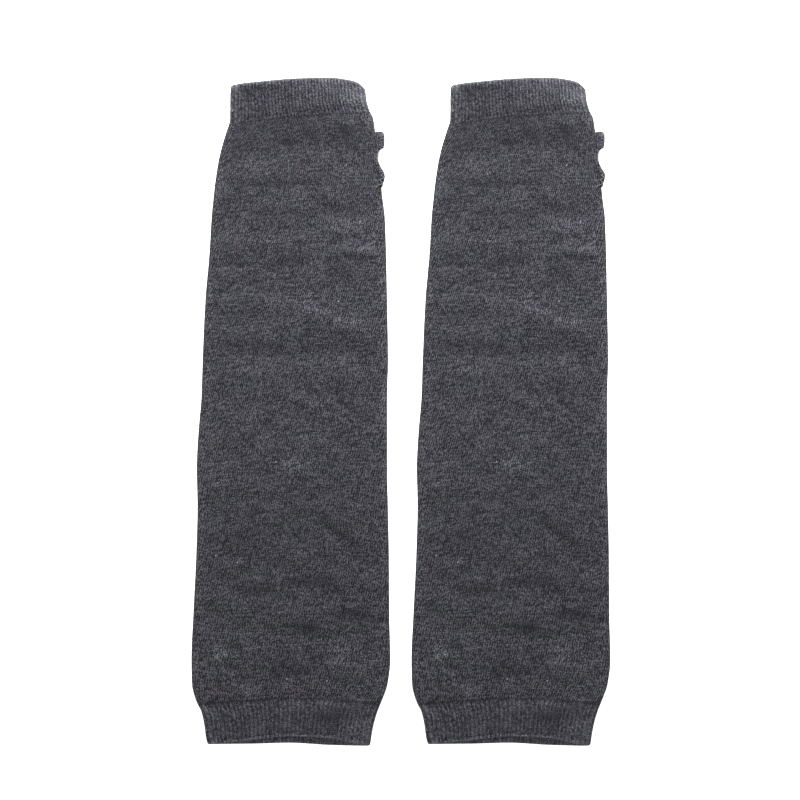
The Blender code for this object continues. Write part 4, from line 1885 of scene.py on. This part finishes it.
JERSEY = KnitFinish("jersey", base=(0.0262, 0.0270, 0.0292), tinted=(0.0282, 0.0268, 0.0304))
RIBBED = KnitFinish("ribbed_welt", base=(0.0284, 0.0292, 0.0316), tinted=(0.0305, 0.0290, 0.0329),
                    groove=0.45, streaks=1.4, strokes=0.6, fibres=2.0, ripple=0.3, legs=2.0)
BAND = KnitFinish("edging_band", base=(0.0244, 0.0251, 0.0272), tinted=(0.0262, 0.0249, 0.0283))
THREAD = YarnFinish("overlock_thread", base=(0.092, 0.090, 0.102), grain=1.2)
FIBRE = YarnFinish("nep_fibre", base=(0.15, 0.148, 0.155), grain=0.8)


@dataclass
class Warmer:
    """One arm warmer of the pair."""

    side: Side
    form: WarmerForm
    placement: Placement
    jersey: bpy.types.Material
    ribbed: bpy.types.Material
    band: bpy.types.Material
    thread: bpy.types.Material
    fibre: bpy.types.Material
    tube_flat: tuple[float, float] = (0.190, 0.298)
    hand_welt_flat: tuple[float, float] = (0.150, 0.018)
    arm_welt_flat: tuple[float, float] = (0.186, 0.021)
    smooth_up_to: float = 50.0

    def sew(self, name: str, piece: bpy.types.Object, material: bpy.types.Material) -> bpy.types.Object:
        """Name, dress and place a modelled piece.

        Args:
            name: The piece's name after the side.
            piece: The piece, in the warmer's own millimetres.
            material: Its finish.

        Returns:
            The piece.
        """
        piece.name = self.side.value + "_" + name
        piece.data.name = piece.name
        piece.data.materials.clear()
        piece.data.materials.append(material)
        self.placement.place(piece.data, self.side)
        piece.data.shade_smooth()
        piece.data.set_sharp_from_angle(angle=math.radians(self.smooth_up_to))
        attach(piece, "root")
        LOG.info("%s: %d points", piece.name, len(piece.data.vertices))
        return piece

    def knit(self, name: str, wall: KnittedWall, material: bpy.types.Material) -> bpy.types.Object:
        """Knit one wall of the warmer and let it stand for its two solids.

        Args:
            name: The piece's name after the side, as in its solids' names.
            wall: The wall.
            material: Its finish.

        Returns:
            The piece.
        """
        full_name = self.side.value + "_" + name
        mesh = wall.mesh(full_name)
        self.placement.place(mesh, self.side)
        finish_mesh(mesh)
        piece = add_piece(full_name, mesh, material)
        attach(piece, "root")
        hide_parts(full_name + "_front", full_name + "_back")
        LOG.info("%s: %d points", full_name, len(mesh.vertices))
        return piece

    def build(self) -> None:
        """Knit the tube and both welts, and sew the thumb opening's edging."""
        form = self.form
        edging = ThumbEdging(form)
        band = self.sew("edging_band", edging.band(), self.band)
        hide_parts(self.side.value + "_thumb_edging")
        thread = self.sew("overlock_thread", edging.thread(), self.thread)
        neps = self.sew("neps", Neps().build(form), self.fibre)
        tube = JerseyTube(
            form, Ring(front=124, fold=16, back=56, wales=168, width=94.0), form.jersey_wall,
            length=296.0, courses=340.0, outer_rows=300, inner_step=6, start=Hold.SEAM, end=Hold.SEAM)
        self.knit("tube", tube, self.jersey)
        hand = RibbedWelt(
            form, Ring(front=208, fold=36, back=208, wales=82, width=72.0), form.welt_wall,
            length=19.2, courses=24.0, outer_rows=34, inner_step=6, start=Hold.SEAM, end=Hold.HEM,
            hem_painted_light=1.6, hem_reach=2.6)
        self.knit("hand_welt", hand, self.ribbed)
        arm = RibbedWelt(
            form, Ring(front=216, fold=30, back=216, wales=82, width=90.0), form.welt_wall,
            length=19.1, courses=24.0, outer_rows=34, inner_step=6, start=Hold.HEM, end=Hold.SEAM,
            hem_painted_light=1.9, inside_painted_light=1.3, seam_at_start=False, rib_height=0.14, rib_depth=0.07,
            body_growth=14.0)
        self.knit("arm_welt", arm, self.ribbed)


def main() -> None:
    """Build the pair, the floor, the camera and the light."""
    logging.basicConfig(level=logging.INFO, format="%(message)s")
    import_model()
    studio = Studio()
    studio.add_camera()
    studio.add_lights()
    studio.add_world()
    PaleFloor().build()
    form = WarmerForm()
    placement = Placement.from_frame(form)
    knit_groups = (VStitches().build(), MelangeYarn().build())
    knits = [finish.build(*knit_groups) for finish in (JERSEY, RIBBED, BAND)]
    yarns = [finish.build() for finish in (THREAD, FIBRE)]
    for side in Side:
        Warmer(side, form, placement, *knits, *yarns).build()


if __name__ == "__main__":
    main()
